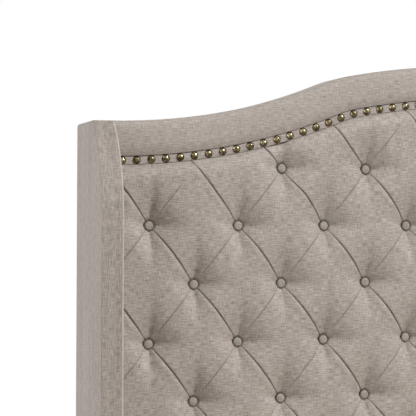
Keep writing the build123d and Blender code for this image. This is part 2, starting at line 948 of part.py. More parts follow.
def centre_leg(y):
    """A wooden centre leg, bored for its bolt, its insert and the levelling stud."""
    half = centre_leg_width / 2
    leg = block(-half, half, y - half, y + half, centre_leg_lift, beam_bottom)
    insert = rod_z(insert_radius, centre_leg_lift, centre_leg_lift + insert_length, 0, y)
    depth = leveller_pad_thick + leveller_nut_thick + leveller_stud_length + leveller_travel + bolt_clearance
    bore = rod_z(bolt_radius + stud_bore_clearance, centre_leg_lift, depth, 0, y)
    return leg - insert - bore - leg_bolt_bores(bolt_radius)


def centre_leg_bolts():
    """The double ended bolts between the beam and its legs."""
    return leg_bolt_bores(bolt_radius)


def leg_inserts():
    """The threaded inserts in the feet of the centre legs."""
    inserts = []
    for y in centre_leg_places():
        sleeve = rod_z(insert_radius, centre_leg_lift, centre_leg_lift + insert_length, 0, y)
        bore = rod_z(bolt_radius + leveller_fit, 0, centre_leg_lift + insert_length + overrun, 0, y)
        inserts.append(sleeve - bore)
    return inserts


def leveller(y):
    """A levelling foot: a pad, a nut and a stud that screws into the leg."""
    pad = rod_z(leveller_pad_radius, 0, leveller_pad_thick, 0, y)
    nut_top = leveller_pad_thick + leveller_nut_thick
    hexagon = Pos(0, y, leveller_pad_thick) * RegularPolygon(leveller_nut_radius, 6)
    nut = extrude(hexagon, amount=leveller_nut_thick)
    stud = rod_z(bolt_radius, nut_top, nut_top + leveller_stud_length, 0, y)
    return pad + nut + stud


def footboard_core():
    """The board inside the footboard."""
    half = half_width - footboard_pad
    core = block(-half, half, y_foot_front + footboard_pad, y_foot - footboard_pad,
                 footboard_bottom, footboard_bottom + footboard_height - footboard_pad)
    return core - foot_bolt_holes() - hanger_screw_holes() - foot_leg_bolts()


def footboard_cover():
    """The padding and fabric round the footboard's core, open at the bottom."""
    top = footboard_bottom + footboard_height
    outer = block(-half_width, half_width, y_foot_front, y_foot, footboard_bottom, top)
    rims = outer.edges().filter_by(Axis.Z) + [edge for edge in outer.edges() if edge.center().Z > top - band_gap]
    outer = fillet(rims, footboard_round)
    half = half_width - footboard_pad
    core = block(-half, half, y_foot_front + footboard_pad, y_foot - footboard_pad,
                 footboard_bottom - overrun, top - footboard_pad)
    return outer - core - foot_bolt_holes() - hanger_screw_holes()


def foot_leg_centre():
    """Where a footboard leg stands across the bed."""
    return half_width - foot_leg_side_inset - foot_leg_top_width / 2


def foot_leg_bolts():
    """The bolts between the footboard and its legs."""
    x = foot_leg_centre()
    bottom = footboard_bottom - foot_bolt_rise
    top = footboard_bottom + foot_bolt_rise
    bolt = rod_z(bolt_radius, bottom, top, x, y_footboard)
    return [bolt, other_side(bolt)]


def footboard_leg():
    """The right footboard leg, tapered on all sides."""
    x = foot_leg_centre()
    top = Pos(x, y_footboard, footboard_bottom) * Rectangle(foot_leg_top_width, foot_leg_top_depth)
    base = Pos(x, y_footboard, foot_glide_height) * Rectangle(foot_leg_base_width, foot_leg_base_depth)
    return loft([base, top], ruled=True) - foot_leg_bolts()


def footboard_glides():
    """The glides under the footboard legs."""
    glide = rod_z(glide_radius, 0, foot_glide_height, foot_leg_centre(), y_footboard)
    return [glide, other_side(glide)]


def headboard_glides():
    """The glides under the posts and the wing cores."""
    post_glide = rod_z(glide_radius, 0, glide_height, wing_inner - post_width / 2, y_post)
    wing_glide = rod_z(glide_radius, 0, glide_height, wing_inner + wing_thick / 2, y_wing + wing_thick)
    return [post_glide, wing_glide, other_side(post_glide), other_side(wing_glide)]


def save_pair(name, right):
    """Write the right hand piece and its mirror image as two nodes."""
    save(f"right_{name}", right)
    save(f"left_{name}", other_side(right))


def save_headboard():
    """The frame, the panel and the upholstery of the headboard."""
    save_pair("headboard_post", headboard_post())
    save("top_rail", top_rail())
    save("middle_rail", middle_rail())
    save("seat_rail", seat_rail())
    save("bottom_rail", bottom_rail())
    half = frame_rail_height / 2
    save("upper_studs", *studs(middle_rail_height + half, top_rail_bottom))
    save("lower_studs", *studs(tuft_bottom + half, middle_rail_height - half))
    save("base_studs", *studs(panel_bottom + bottom_rail_height, tuft_bottom - half))
    save("headboard_panel", headboard_panel())
    save("border_board", border_board())
    save("border_pad", border_pad())
    save("nail_band", nail_band())
    save("nail_heads", *nail_heads())
    save("tufted_panel", tufted_panel())
    save("tuft_buttons", *tuft_buttons())
    save("button_ties", *button_ties())
    save("lower_panel_pad", lower_panel_pad())
    save("rear_cover", rear_cover())
    save("headboard_glides", *headboard_glides())


def save_wings():
    """The wings and what bolts them on."""
    save_pair("wing_core", wing_core())
    save_pair("wing_cover", wing_cover())
    save_pair("wing_welt", welt(welt_radius))
    save("wing_bolts", *wing_bolts())
    save("wing_tee_nuts", *wing_tee_nuts())


def save_rails():
    """The side rails, their ledgers, brackets and fasteners."""
    save_pair("side_rail_board", side_rail_board())
    save_pair("side_rail_cover", side_rail_cover())
    save_pair("slat_ledger", slat_ledger())
    save("head_rail_brackets", *rail_brackets(y_lower_pad, 1))
    save("foot_rail_brackets", *rail_brackets(y_foot, -1))
    save("rail_bolts", *rail_bolts())
    save("bracket_screws", *bracket_screws())
    save("ledger_screws", *ledger_screws())


def save_footboard():
    """The footboard and its legs."""
    save("footboard_core", footboard_core())
    save("footboard_cover", footboard_cover())
    save_pair("footboard_leg", footboard_leg())
    save("footboard_leg_bolts", *foot_leg_bolts())
    save("footboard_glides", *footboard_glides())


def save_base():
    """The slats, the centre beam and its legs."""
    save("slats", *slats())
    save("slat_straps", *slat_straps())
    save("slat_screws", *slat_screws())
    save("centre_beam", centre_beam())
    save("head_beam_hanger", beam_hanger(y_lower_pad, 1))
    save("foot_beam_hanger", beam_hanger(y_foot, -1))
    save("hanger_screws", *hanger_screws())
    for name, y in zip(("foot", "middle", "head"), centre_leg_places()):
        save(f"{name}_centre_leg", centre_leg(y))
        save(f"{name}_leveller", leveller(y))
    save("centre_leg_bolts", *centre_leg_bolts())
    save("leg_inserts", *leg_inserts())


def print_sizes():
    """The sizes and places that the mounts, joints and openings are stated from."""
    print(f"overall {2 * half_width} x {length} x {crest_height(0, 0):.1f}")
    print(f"buttons {len(tuft_places())}, nails {len(nail_places())}")
    print(f"bay x {half_bay}, y {y_foot} to {y_tuft}, z {slat_top} to {slat_top + mattress_room}")
    print(f"lower pad face y {y_lower_pad}, wing front y {y_wing}")
    print(f"centre legs y {centre_leg_places()}, levelling travel {leveller_travel}")


os.makedirs("parts", exist_ok=True)
save_headboard()
save_wings()
save_rails()
save_footboard()
save_base()
print_sizes()
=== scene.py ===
import json
import math

import bmesh
import bpy
import numpy as np
from mathutils import Matrix, Vector

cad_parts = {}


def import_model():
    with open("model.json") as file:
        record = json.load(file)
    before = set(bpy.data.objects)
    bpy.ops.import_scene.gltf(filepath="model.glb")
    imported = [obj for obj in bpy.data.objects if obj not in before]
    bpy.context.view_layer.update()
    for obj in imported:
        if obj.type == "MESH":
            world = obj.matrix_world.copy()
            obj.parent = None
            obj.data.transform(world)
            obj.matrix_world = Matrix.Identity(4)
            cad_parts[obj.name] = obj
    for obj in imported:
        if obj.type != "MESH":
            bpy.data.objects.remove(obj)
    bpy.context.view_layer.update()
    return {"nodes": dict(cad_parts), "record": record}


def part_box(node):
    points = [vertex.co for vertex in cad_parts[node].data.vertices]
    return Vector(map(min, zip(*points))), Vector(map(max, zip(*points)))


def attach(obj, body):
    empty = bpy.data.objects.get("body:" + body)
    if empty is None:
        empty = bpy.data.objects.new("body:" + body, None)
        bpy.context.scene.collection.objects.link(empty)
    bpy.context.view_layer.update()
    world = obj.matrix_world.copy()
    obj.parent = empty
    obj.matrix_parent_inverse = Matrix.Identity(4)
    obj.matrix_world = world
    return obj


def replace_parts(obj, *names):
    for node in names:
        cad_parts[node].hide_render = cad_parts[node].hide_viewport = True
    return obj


# The looks of the wingback bed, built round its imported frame. All sizes are in metres.
# X is across the bed, Y points from the foot to the head, and Z is up.

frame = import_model()
nodes = frame["nodes"]

# Camera, found from the buttons and the wing in the photograph
CAMERA_PLACE = (-1.307, -1.3025, 1.299)
CAMERA_YAW = 16.952
CAMERA_PITCH = -0.231
CAMERA_ROLL = 0.311
CAMERA_LENS = 109.98
CAMERA_SENSOR = 36.0

# Crest, as in the frame's source
CREST_SIDE = 1.4525
SHOULDER_FLAT = 0.003
SWEEP_RADIUS = 1.181
SWEEP_TURN = 22.18
KNEE_RADIUS = 0.200
CROWN_TURN = 11.26
BORDER_WIDTH = 0.0665
BAND_GAP = 0.0005
CREST_WRAP = 0.010
TUFT_INSET = 0.0835
REAR_INSET = 0.004

# Tufting, as in the frame's source
TUFT_PITCH = 0.178
ROW_PITCH = 0.1123
TOP_ROW = 1.3674
SIDE_MARGIN = 0.060
EDGE_MARGIN = 0.025

# Places read from the frame

board_low, board_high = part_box("border_board")
pad_low, pad_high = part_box("border_pad")
band_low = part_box("nail_band")[0]
field_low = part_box("tufted_panel")[0]
buttons_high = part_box("tuft_buttons")[1]
wing_low, wing_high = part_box("right_wing_cover")
WING_INNER = wing_low.x
Y_BOARD = board_low.y
Y_PLY = board_high.y
Y_BORDER = pad_low.y
Y_FRAME_BACK = pad_high.y
Y_BAND = band_low.y
Y_TUFT = field_low.y
Y_SEAT = buttons_high.y
FIELD_HALF = WING_INNER - BAND_GAP
FIELD_BOTTOM = field_low.z


def crest_arcs():
    """Centres, radii, turns and bends of the crest's arcs on the right half, from the crown outward."""
    sweep_angle, crown_angle = math.radians(SWEEP_TURN), math.radians(CROWN_TURN)
    sweep_x = WING_INNER - SHOULDER_FLAT
    sweep_z = CREST_SIDE + SWEEP_RADIUS
    knee_x = sweep_x - (SWEEP_RADIUS + KNEE_RADIUS) * math.sin(sweep_angle)
    knee_z = sweep_z - (SWEEP_RADIUS + KNEE_RADIUS) * math.cos(sweep_angle)
    crown_radius = KNEE_RADIUS + knee_x / math.sin(crown_angle)
    crown_z = knee_z - (crown_radius - KNEE_RADIUS) * math.cos(crown_angle)
    return [
        (0.0, crown_z, crown_radius, 0.0, crown_angle, 1),
        (knee_x, knee_z, KNEE_RADIUS, crown_angle, sweep_angle, 1),
        (sweep_x, sweep_z, SWEEP_RADIUS, sweep_angle, 0.0, -1),
    ]


def crest_height(x, inset):
    """The height of the crest at places across the bed, for an inset square to it."""
    across = np.abs(np.asarray(x, float))
    height = np.full(across.shape, CREST_SIDE - inset)
    done = np.zeros(across.shape, bool)
    for centre_x, centre_z, radius, _, end, bend in crest_arcs():
        reach = radius - bend * inset
        edge = centre_x + bend * reach * math.sin(end)
        here = (across <= edge) & ~done
        height[here] = centre_z + bend * np.sqrt(reach**2 - (across[here] - centre_x) ** 2)
        done |= here
    return height


def crest_stations(step):
    """Places along the whole crest: pairs of a point on it and the direction outward."""
    right = []
    for centre_x, centre_z, radius, start, end, bend in crest_arcs():
        count = max(2, int(radius * abs(end - start) / step))
        for index in range(count):
            angle = start + (end - start) * index / count
            way = (bend * math.sin(angle), bend * math.cos(angle))
            base = (centre_x + radius * way[0], centre_z + radius * way[1])
            right.append((base, (way[0] * bend, way[1] * bend)))
    for gap in (SHOULDER_FLAT, BAND_GAP):
        right.append(((WING_INNER - gap, CREST_SIDE), (0.0, 1.0)))
    left = [((-x, z), (-a, b)) for (x, z), (a, b) in right[1:]]
    return left[::-1] + right


def new_object(name, data):
    """An object in the scene for a mesh, a lamp or a camera."""
    thing = bpy.data.objects.new(name, data)
    bpy.context.scene.collection.objects.link(thing)
    return thing


def gathered(items, name, kind, width=None):
    """One attribute of every vertex, corner or face of a mesh."""
    values = np.zeros(len(items) * (width or 1), kind)
    items.foreach_get(name, values)
    return values.reshape(-1, width) if width else values


def box_uv(mesh, turned=False):
    """Texture coordinates in metres, square to each face's main direction. Turned lays the weave upright."""
    points = gathered(mesh.vertices, "co", np.float32, 3)[gathered(mesh.loops, "vertex_index", np.int32)]
    normals = gathered(mesh.polygons, "normal", np.float32, 3)
    axis = np.repeat(np.abs(normals).argmax(1), gathered(mesh.polygons, "loop_total", np.int32))
    across = np.where(axis == 0, points[:, 1], points[:, 0])
    upward = np.where(axis == 2, points[:, 1], points[:, 2])
    pair = [upward, across] if turned else [across, upward]
    layer = mesh.uv_layers.new(name="weave")
    layer.data.foreach_set("uv", np.stack(pair, 1).astype(np.float32).ravel())


def piece_from(name, points, faces, material, turned=False, body="bed"):
    """A smooth closed piece from points and faces, with its material, riding on a body."""
    mesh = bpy.data.meshes.new(name)
    mesh.from_pydata([tuple(p) for p in points], [], [tuple(f) for f in faces])
    return dress(new_object(name, mesh), material, turned, body)


def dress(thing, material, turned=False, body="bed"):
    """Finish a piece: outward faces, smooth shading, weave coordinates, material, slot and body."""
    mesh = thing.data
    work = bmesh.new()
    work.from_mesh(mesh)
    bmesh.ops.recalc_face_normals(work, faces=work.faces)
    work.to_mesh(mesh)
    work.free()
    mesh.polygons.foreach_set("use_smooth", np.ones(len(mesh.polygons), bool))
    mesh.update()
    box_uv(mesh, turned)
    mesh.materials.append(material)
    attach(thing, body)
    return thing


# Node helpers


def feed(tree, socket, value):
    """Link another socket to an input, or set the input to a constant."""
    if isinstance(value, bpy.types.NodeSocket):
        tree.links.new(value, socket)
    else:
        socket.default_value = value


def node(tree, kind, links=(), **settings):
    """A shader node with its settings, and its inputs set or linked by name or number."""
    made = tree.nodes.new(kind)
    for key, value in settings.items():
        setattr(made, key, value)
    for key, value in dict(links).items():
        feed(tree, made.inputs[key], value)
    return made


def new_material(name):
    """A material with an empty tree, its output and its main shader."""
    material = bpy.data.materials.new(name)
    material.use_nodes = True
    tree = material.node_tree
    tree.nodes.clear()
    shader = node(tree, "ShaderNodeBsdfPrincipled")
    node(tree, "ShaderNodeOutputMaterial", {0: shader.outputs[0]})
    return material, tree, shader


def stretched_noise(tree, coordinate, scale, detail=3.0, roughness=0.55):
    """Noise drawn out by a different scale along each axis."""
    mapped = node(tree, "ShaderNodeMapping", {"Vector": coordinate, "Scale": scale})
    settings = {"Vector": mapped.outputs[0], "Scale": 1.0, "Detail": detail, "Roughness": roughness}
    return node(tree, "ShaderNodeTexNoise", settings).outputs[0]


def maths(tree, operation, first, second=0.0, third=0.0):
    """The result of one sum or comparison."""
    return node(tree, "ShaderNodeMath", {0: first, 1: second, 2: third}, operation=operation).outputs[0]


def ramp(tree, value, stops):
    """A colour ramp over pairs of a place and a colour."""
    made = node(tree, "ShaderNodeValToRGB", {"Fac": value})
    elements = made.color_ramp.elements
    while len(elements) < len(stops):
        elements.new(0.5)
    for element, (place, colour) in zip(elements, stops):
        element.position = place
        element.color = (*colour, 1.0)
    return made.outputs[0]


def shade(colour, share):
    """A colour made lighter or darker by a share."""
    return tuple(channel * share for channel in colour)


def connect(tree, shader, colour, roughness, relief=None, strength=0.0, depth=0.0):
    """Give the main shader its colour, its roughness and, if there is one, its relief."""
    feed(tree, shader.inputs["Base Color"], colour)
    feed(tree, shader.inputs["Roughness"], roughness)
    if relief is not None:
        bump = node(tree, "ShaderNodeBump", {"Height": relief, "Strength": strength, "Distance": depth})
        feed(tree, shader.inputs["Normal"], bump.outputs[0])


def blend(tree, *parts):
    """The sum of values, each times its share."""
    total = None
    for value, share in parts:
        part = maths(tree, "MULTIPLY", value, share)
        total = part if total is None else maths(tree, "ADD", total, part)
    return total


def linen(name, colour, contrast=1.0, bars=0.0):
    """Linen look weave: slubs along the weft and the warp, fine threads, a faint mottle, and wider bars."""
    material, tree, shader = new_material(name)
    place = node(tree, "ShaderNodeUVMap", uv_map="weave").outputs[0]
    weft = stretched_noise(tree, place, (70.0, 600.0, 1.0), 0.4)
    warp = stretched_noise(tree, place, (600.0, 80.0, 1.0), 0.4)
    fine_weft = stretched_noise(tree, place, (160.0, 1500.0, 1.0), 1.0)
    fine_warp = stretched_noise(tree, place, (1500.0, 160.0, 1.0), 1.0)
    mottle = stretched_noise(tree, place, (9.0, 9.0, 1.0), 2.0)
    bar = stretched_noise(tree, place, (2.5, 70.0, 1.0), 2.0)
    weights = ((weft, 1.15), (warp, 0.80), (fine_weft, 0.30), (fine_warp, 0.25), (mottle, 0.14), (bar, bars))
    total = blend(tree, *((source, share * contrast) for source, share in weights))
    centred = maths(tree, "ADD", total, 0.5 - contrast * sum(share for _, share in weights) / 2)
    tone = ramp(tree, centred, [(0.1, shade(colour, 0.62)), (0.5, colour), (0.9, shade(colour, 1.36))])
    threads = blend(tree, (fine_weft, 0.6), (weft, 0.5), (fine_warp, 0.6))
    connect(tree, shader, tone, roughness=0.58, relief=threads, strength=0.35, depth=0.0006)
    for key, value in (("Specular IOR Level", 0.35), ("Sheen Weight", 0.08), ("Sheen Roughness", 0.5)):
        shader.inputs[key].default_value = value
    return material


def brass():
    """Antique brass: dark, rubbed brighter in patches that fall at random."""
    material, tree, shader = new_material("antique_brass")
    place = node(tree, "ShaderNodeTexCoord").outputs["Object"]
    patina = stretched_noise(tree, place, (220.0, 220.0, 220.0), 4.0)
    stops = [(0.3, (0.042, 0.030, 0.014)), (0.52, (0.170, 0.134, 0.074)), (0.72, (0.55, 0.47, 0.31))]
    rough = maths(tree, "MULTIPLY_ADD", patina, 0.2, 0.12)
    connect(tree, shader, ramp(tree, patina, stops), rough)
    shader.inputs["Metallic"].default_value = 1.0
    return material


def wood(name, axis, light, dark, roughness, grain):
    """Wood with its grain along an axis of the frame: drawn out rings and fine pores."""
    material, tree, shader = new_material(f"{name}_{'xyz'[axis]}")
    place = node(tree, "ShaderNodeTexCoord").outputs["Object"]
    ring_scale = [38.0 * grain] * 3
    pore_scale = [520.0 * grain] * 3
    ring_scale[axis] = 1.6 * grain
    pore_scale[axis] = 16.0 * grain
    rings = stretched_noise(tree, place, ring_scale, 4.0, 0.5)
    waves = maths(tree, "FRACT", maths(tree, "MULTIPLY", rings, 7.0))
    pores = stretched_noise(tree, place, pore_scale, 2.0)
    middle = tuple((a + b) / 2 for a, b in zip(light, dark))
    stops = [(0.1, light), (0.55, middle), (0.95, dark)]
    tone = ramp(tree, blend(tree, (waves, 0.65), (pores, 0.35)), stops)
    rough = maths(tree, "MULTIPLY_ADD", pores, 0.15, roughness)
    connect(tree, shader, tone, rough, relief=pores, strength=0.2, depth=0.0004)
    return material


def plain(name, colour, roughness, metallic=0.0, grain=300.0, depth=0.0003, spread=0.15):
    """A moulded, coated or plated finish with a fine grain and a slight change of tone."""
    material, tree, shader = new_material(name)
    place = node(tree, "ShaderNodeTexCoord").outputs["Object"]
    speckle = stretched_noise(tree, place, (grain, grain, grain), 3.0)
    cloud = stretched_noise(tree, place, (12.0, 12.0, 12.0), 2.0)
    stops = [(0.3, shade(colour, 1 - spread)), (0.7, shade(colour, 1 + spread))]
    tone = ramp(tree, blend(tree, (speckle, 0.5), (cloud, 0.5)), stops)
    rough = maths(tree, "MULTIPLY_ADD", speckle, 0.15, roughness - 0.07)
    connect(tree, shader, tone, rough, relief=speckle, strength=0.3, depth=depth)
    shader.inputs["Metallic"].default_value = metallic
    return material


def webbing():
    """Polypropylene webbing: ribs along the strap and a herringbone across."""
    material, tree, shader = new_material("webbing")
    place = node(tree, "ShaderNodeUVMap", uv_map="weave").outputs[0]
    waves = []
    for scale, distortion, direction in ((160.0, 0.4, "X"), (220.0, 0.6, "DIAGONAL")):
        settings = {"Vector": place, "Scale": scale, "Distortion": distortion}
        waves.append(node(tree, "ShaderNodeTexWave", settings, bands_direction=direction).outputs[1])
    value = blend(tree, (waves[0], 0.5), (waves[1], 0.5))
    stops = [(0.1, (0.42, 0.40, 0.35)), (0.9, (0.72, 0.70, 0.64))]
    connect(tree, shader, ramp(tree, value, stops), roughness=0.7, relief=value, strength=0.5, depth=0.0005)
    return material


def dust_cloth():
    """Black spunbonded cloth: pressed dots in rows and loose fibres."""
    material, tree, shader = new_material("dust_cloth")
    place = node(tree, "ShaderNodeTexCoord").outputs["Object"]
    mapped = node(tree, "ShaderNodeMapping", {"Vector": place, "Scale": (520.0, 1.0, 520.0)}).outputs[0]
    dots = node(tree, "ShaderNodeTexVoronoi", {"Vector": mapped, "Scale": 1.0, "Randomness": 0.25}).outputs[0]
    fibres = stretched_noise(tree, place, (700.0, 700.0, 160.0), 4.0)
    value = blend(tree, (dots, 0.5), (fibres, 0.5))
    stops = [(0.2, (0.016, 0.016, 0.017)), (0.8, (0.045, 0.045, 0.047))]
    connect(tree, shader, ramp(tree, value, stops), roughness=0.8, relief=value, strength=0.4, depth=0.0004)
    return material


LINEN_COLOUR = (0.338, 0.2988, 0.2670)
linen_level = linen("linen", LINEN_COLOUR)
linen_border = linen("linen_border", LINEN_COLOUR, 0.8)
# The wing's side faces: the weave turned upright, painted a little lighter and warmer as painted light from
# the side.
linen_upright_painted_light = linen("linen_upright_painted_light", (0.350, 0.3040, 0.2660), bars=0.55)
# The strip round a wing's edge, painted darker as painted shade.
linen_boxing_painted_shade = linen("linen_boxing_painted_shade", (0.276, 0.2430, 0.2130), bars=0.6)
# The welt cord's linen, painted lighter as a painted highlight along the wing's edge.
linen_welt_painted_highlight = linen("linen_welt_painted_highlight", shade(LINEN_COLOUR, 1.22), 0.6)
linen_cap = linen("linen_cap", shade(LINEN_COLOUR, 0.88), 0.8)
# The rim round each button cap: linen painted dark as painted shade of the gap round the cap.
linen_ring_painted_shade = linen("linen_ring_painted_shade", shade(LINEN_COLOUR, 0.26), 0.6)
brass_finish = brass()
twine_finish = plain("twine", (0.52, 0.46, 0.36), 0.8, grain=900.0)
dust_finish = dust_cloth()
webbing_finish = webbing()

# Tufted panel: the pits round the buttons

PIT_DEPTH = 0.0252
PIT_REACH = 0.100
PIT_START = 0.012
PIT_POWER = 2.05
PIT_ROUND = 0.0010
PIT_HOLLOW = 0.80
PIT_LEAN = 0.03
PIT_RAISE = 0.17
PIT_FILL = 0.42
PIT_FILL_POWER = 0.75
PIT_SHORT = 0.32
PIT_DRAW = 0.20
PIT_EASE = 0.014
MOAT_DEPTH = 0.0016
MOAT_START = 0.0107
MOAT_END = 0.0125

# The bow of the folds, and where the falling ones bow the other way under the crest

FALLING_BOW = 0.0012
RISING_BOW = -0.0040
CREST_BOW = -0.0068
CREST_BOW_START = 0.065
CREST_BOW_END = 0.110
CREST_BOW_SIDE = 0.60
CREST_BOW_CALM = 0.12

# The crisp folds that fall to the right, and the cloth beside them

SET_ABOVE = 0.0002
SET_ABOVE_RUN = 0.014
SET_BELOW = 0.0008
SET_BELOW_RUN = 0.005
SET_AT_BUTTONS = 0.35
CREASE_DEPTH = 0.0056
CREASE_WALL_ABOVE = 0.0009
CREASE_WALL_BELOW = 0.0015
CREASE_POWER = 1.4
STAND_HEIGHT = 0.0012
STAND_PLACE = 0.008
STAND_RUN = 0.006
FOLD_IN_PITS = 0.45

# The fine folds that fall to the left and fade toward the lower button

FINE_DEPTH = 0.0034
FINE_WALL_LEFT = 0.0011
FINE_WALL_RIGHT = 0.0008
FINE_SET = 0.0010
FINE_SET_RUN = 0.008
FINE_END = 0.88
FINE_END_FADE = 0.14
FINE_START = 0.22
FINE_START_FADE = 0.25
FAINT_FOLD = 0.35

# The edges of the field as drop, run and power, and the slow unevenness of the cloth with its rates a metre

EDGE_CREST = (0.0135, 0.028, 2.2)
EDGE_SIDE = (0.008, 0.014, 2)
EDGE_BOTTOM = (0.016, 0.022, 2)
FIELD_SETBACK = 0.0012
SWELL_DEPTH = 0.00045
SWELL_RATES = (31.0, 27.0, 53.0, 47.0)
RIPPLE_DEPTH = 0.00012
RIPPLE_RATES = (210.0, 19.0, 11.0, 7.0)
PLEAT_DEPTH = 0.0005
PLEAT_RATES = (235.0, 21.0)
PLEAT_PLACE = 0.05
PLEAT_RUN = 0.04

# The lattice of the mesh, close together at the folds and round the buttons

CREASE_OFFSETS = (
    0.0, 0.0006, 0.0012, 0.0019, 0.0028, 0.004, 0.0056, 0.0074, 0.0090, 0.0102, 0.0111,
    0.0120, 0.0130, 0.0146, 0.0175, 0.0215, 0.0265, 0.032, 0.0385, 0.0455, 0.053, 0.061,
)
LATTICE_FIRST = -7
LATTICE_LAST = 9
HALVINGS = 24
MERGE_DISTANCE = 0.00005

RUN = math.hypot(TUFT_PITCH / 2, ROW_PITCH)
SPACING = TUFT_PITCH * ROW_PITCH / RUN
BOW_WAY = (ROW_PITCH / RUN, TUFT_PITCH / 2 / RUN)


def eased(share):
    """A share held between 0 and 1 and eased at both ends."""
    share = np.clip(share, 0, 1)
    return share * share * (3 - 2 * share)


def arch(number):
    """0 at whole numbers and 1 half way between them."""
    return np.sin(np.pi * (number - np.floor(number)))


def has_button(x, z):
    """Whether a place of the lattice holds a button."""
    inside = np.abs(x) <= WING_INNER - SIDE_MARGIN
    low_enough = z <= crest_height(x, TUFT_INSET) - EDGE_MARGIN
    high_enough = z >= FIELD_BOTTOM - BAND_GAP + SIDE_MARGIN
    return inside & low_enough & high_enough


def lattice_point(u, v):
    """Across and up for a place in the lattice, without the bow."""
    return TUFT_PITCH / 2 + (u - v) * TUFT_PITCH / 2, TOP_ROW - (u + v) * ROW_PITCH


def field_point(u, v):
    """Across and up for a place in the lattice, with the bow of the falling and of the rising folds."""
    x, z = lattice_point(u, v)
    below = crest_height(x, TUFT_INSET) - z
    near = np.clip((CREST_BOW_END - below) / (CREST_BOW_END - CREST_BOW_START), 0, 1)
    free = np.clip((CREST_BOW_SIDE - np.abs(x)) / CREST_BOW_CALM, 0, 1)
    falling = (FALLING_BOW + CREST_BOW * near * free) * arch(u)
    rising = RISING_BOW * arch(v)
    return x + (falling + rising) * BOW_WAY[0], z + (falling - rising) * BOW_WAY[1]


def pit_reach(across, up):
    """How far from its button a place counts as lying: less along the creases up, down and to both sides.

    The pit is drawn out upward and short to the left. Its left crease rises, with a fuller quarter above."""
    ease = eased((np.hypot(across, up) - MOAT_START) / PIT_EASE)
    level = eased(1 + np.minimum(up, 0) / np.maximum(-across, PIT_ROUND))
    leaning = across - PIT_LEAN * np.maximum(up, 0) + PIT_SHORT * ease * level * np.minimum(across, 0)
    raised = up - PIT_DRAW * ease * np.maximum(up, 0) + PIT_RAISE * np.minimum(across, 0)
    corner = np.maximum(-leaning, 0) * np.maximum(raised, 0)
    corner = (2 * corner / (leaning**2 + raised**2 + PIT_ROUND**2)) ** PIT_FILL_POWER
    hollow = PIT_HOLLOW + PIT_FILL * corner
    sides = [(run**2 + PIT_ROUND**2) ** (hollow / 2) for run in (leaning, raised)]
    return (sides[0] + sides[1]) ** (1 / hollow) - PIT_ROUND


def pit_depth(x, z, u, v):
    """How deep the pits round the nearest lattice places are, with a moat close round each button."""
    depth = np.zeros(x.shape)
    for corner_u in (np.floor(u), np.floor(u) + 1):
        for corner_v in (np.floor(v), np.floor(v) + 1):
            centre_x, centre_z = lattice_point(corner_u, corner_v)
            across, up = x - centre_x, z - centre_z
            share = np.clip(1 - (pit_reach(across, up) - PIT_START) / (PIT_REACH - PIT_START), 0, 1)
            moat = eased((MOAT_END - np.hypot(across, up)) / (MOAT_END - MOAT_START))
            pit = PIT_DEPTH * share**PIT_POWER + MOAT_DEPTH * moat
            depth = np.maximum(depth, np.where(has_button(centre_x, centre_z), pit, 0))
    return depth


def falling_fold(u, v):
    """How deep the crisp folds are, deepest half way between their buttons."""
    run = (v - np.round(v)) * SPACING
    above = run < 0
    beside = np.abs(run)
    middle = 0.5 + 0.5 * arch(u)
    sink = np.where(above, SET_ABOVE, SET_BELOW)
    soft = sink * np.exp(-beside / np.where(above, SET_ABOVE_RUN, SET_BELOW_RUN))
    wall = np.where(above, CREASE_WALL_ABOVE, CREASE_WALL_BELOW)
    crease = CREASE_DEPTH * np.exp(-((beside / wall) ** CREASE_POWER))
    stand = np.where(above, 0, STAND_HEIGHT * np.exp(-(((beside - STAND_PLACE) / STAND_RUN) ** 2)))
    return soft * (SET_AT_BUTTONS + (1 - SET_AT_BUTTONS) * middle) + (crease - stand) * middle


def fine_fold(u, v):
    """How deep the fine folds are. One from no button is short, and one from beyond the crest is faint."""
    run = (u - np.round(u)) * SPACING
    beside = np.abs(run)
    down = v - np.floor(v)
    top_x, top_z = lattice_point(np.round(u), np.floor(v))
    start = np.clip((down - FINE_START) / FINE_START_FADE, 0, 1)
    share = np.clip((FINE_END - down) / FINE_END_FADE, 0, 1)
    share = np.where(has_button(top_x, top_z), share, share * start)
    share = np.where(top_z > crest_height(top_x, TUFT_INSET), FAINT_FOLD * share, share)
    wall = np.where(run < 0, FINE_WALL_LEFT, FINE_WALL_RIGHT)
    crease = FINE_DEPTH * np.exp(-((beside / wall) ** CREASE_POWER))
    return (crease + FINE_SET * np.exp(-beside / FINE_SET_RUN)) * share


def edge_depth(x, z):
    """How far the field is drawn back under the crest, at the wings and at the bottom."""
    gaps = (crest_height(x, TUFT_INSET) - z, FIELD_HALF - np.abs(x), z - FIELD_BOTTOM)
    depth = np.zeros(x.shape)
    for gap, (drop, run, power) in zip(gaps, (EDGE_CREST, EDGE_SIDE, EDGE_BOTTOM)):
        depth = depth + drop * np.clip(1 - gap / run, 0, 1) ** power
    return depth


def swell(x, z):
    """Slow unevenness of cloth over foam, and soft upright pleats under the band."""
    a, b, c, d = SWELL_RATES
    wide = np.sin(x * a + 1.3) * np.sin(z * b + 0.4) + 0.6 * np.sin(x * c - z * d)
    a, b, c, d = RIPPLE_RATES
    narrow = np.sin(x * a + 3.0 * np.sin(z * b)) * np.sin(z * c + x * d)
    a, b = PLEAT_RATES
    pleats = np.sin(x * a + 1.5 * np.sin(x * b))
    below = crest_height(x, TUFT_INSET) - z
    near = np.exp(-(((below - PLEAT_PLACE) / PLEAT_RUN) ** 2))
    return SWELL_DEPTH * wide + RIPPLE_DEPTH * narrow + PLEAT_DEPTH * pleats * near


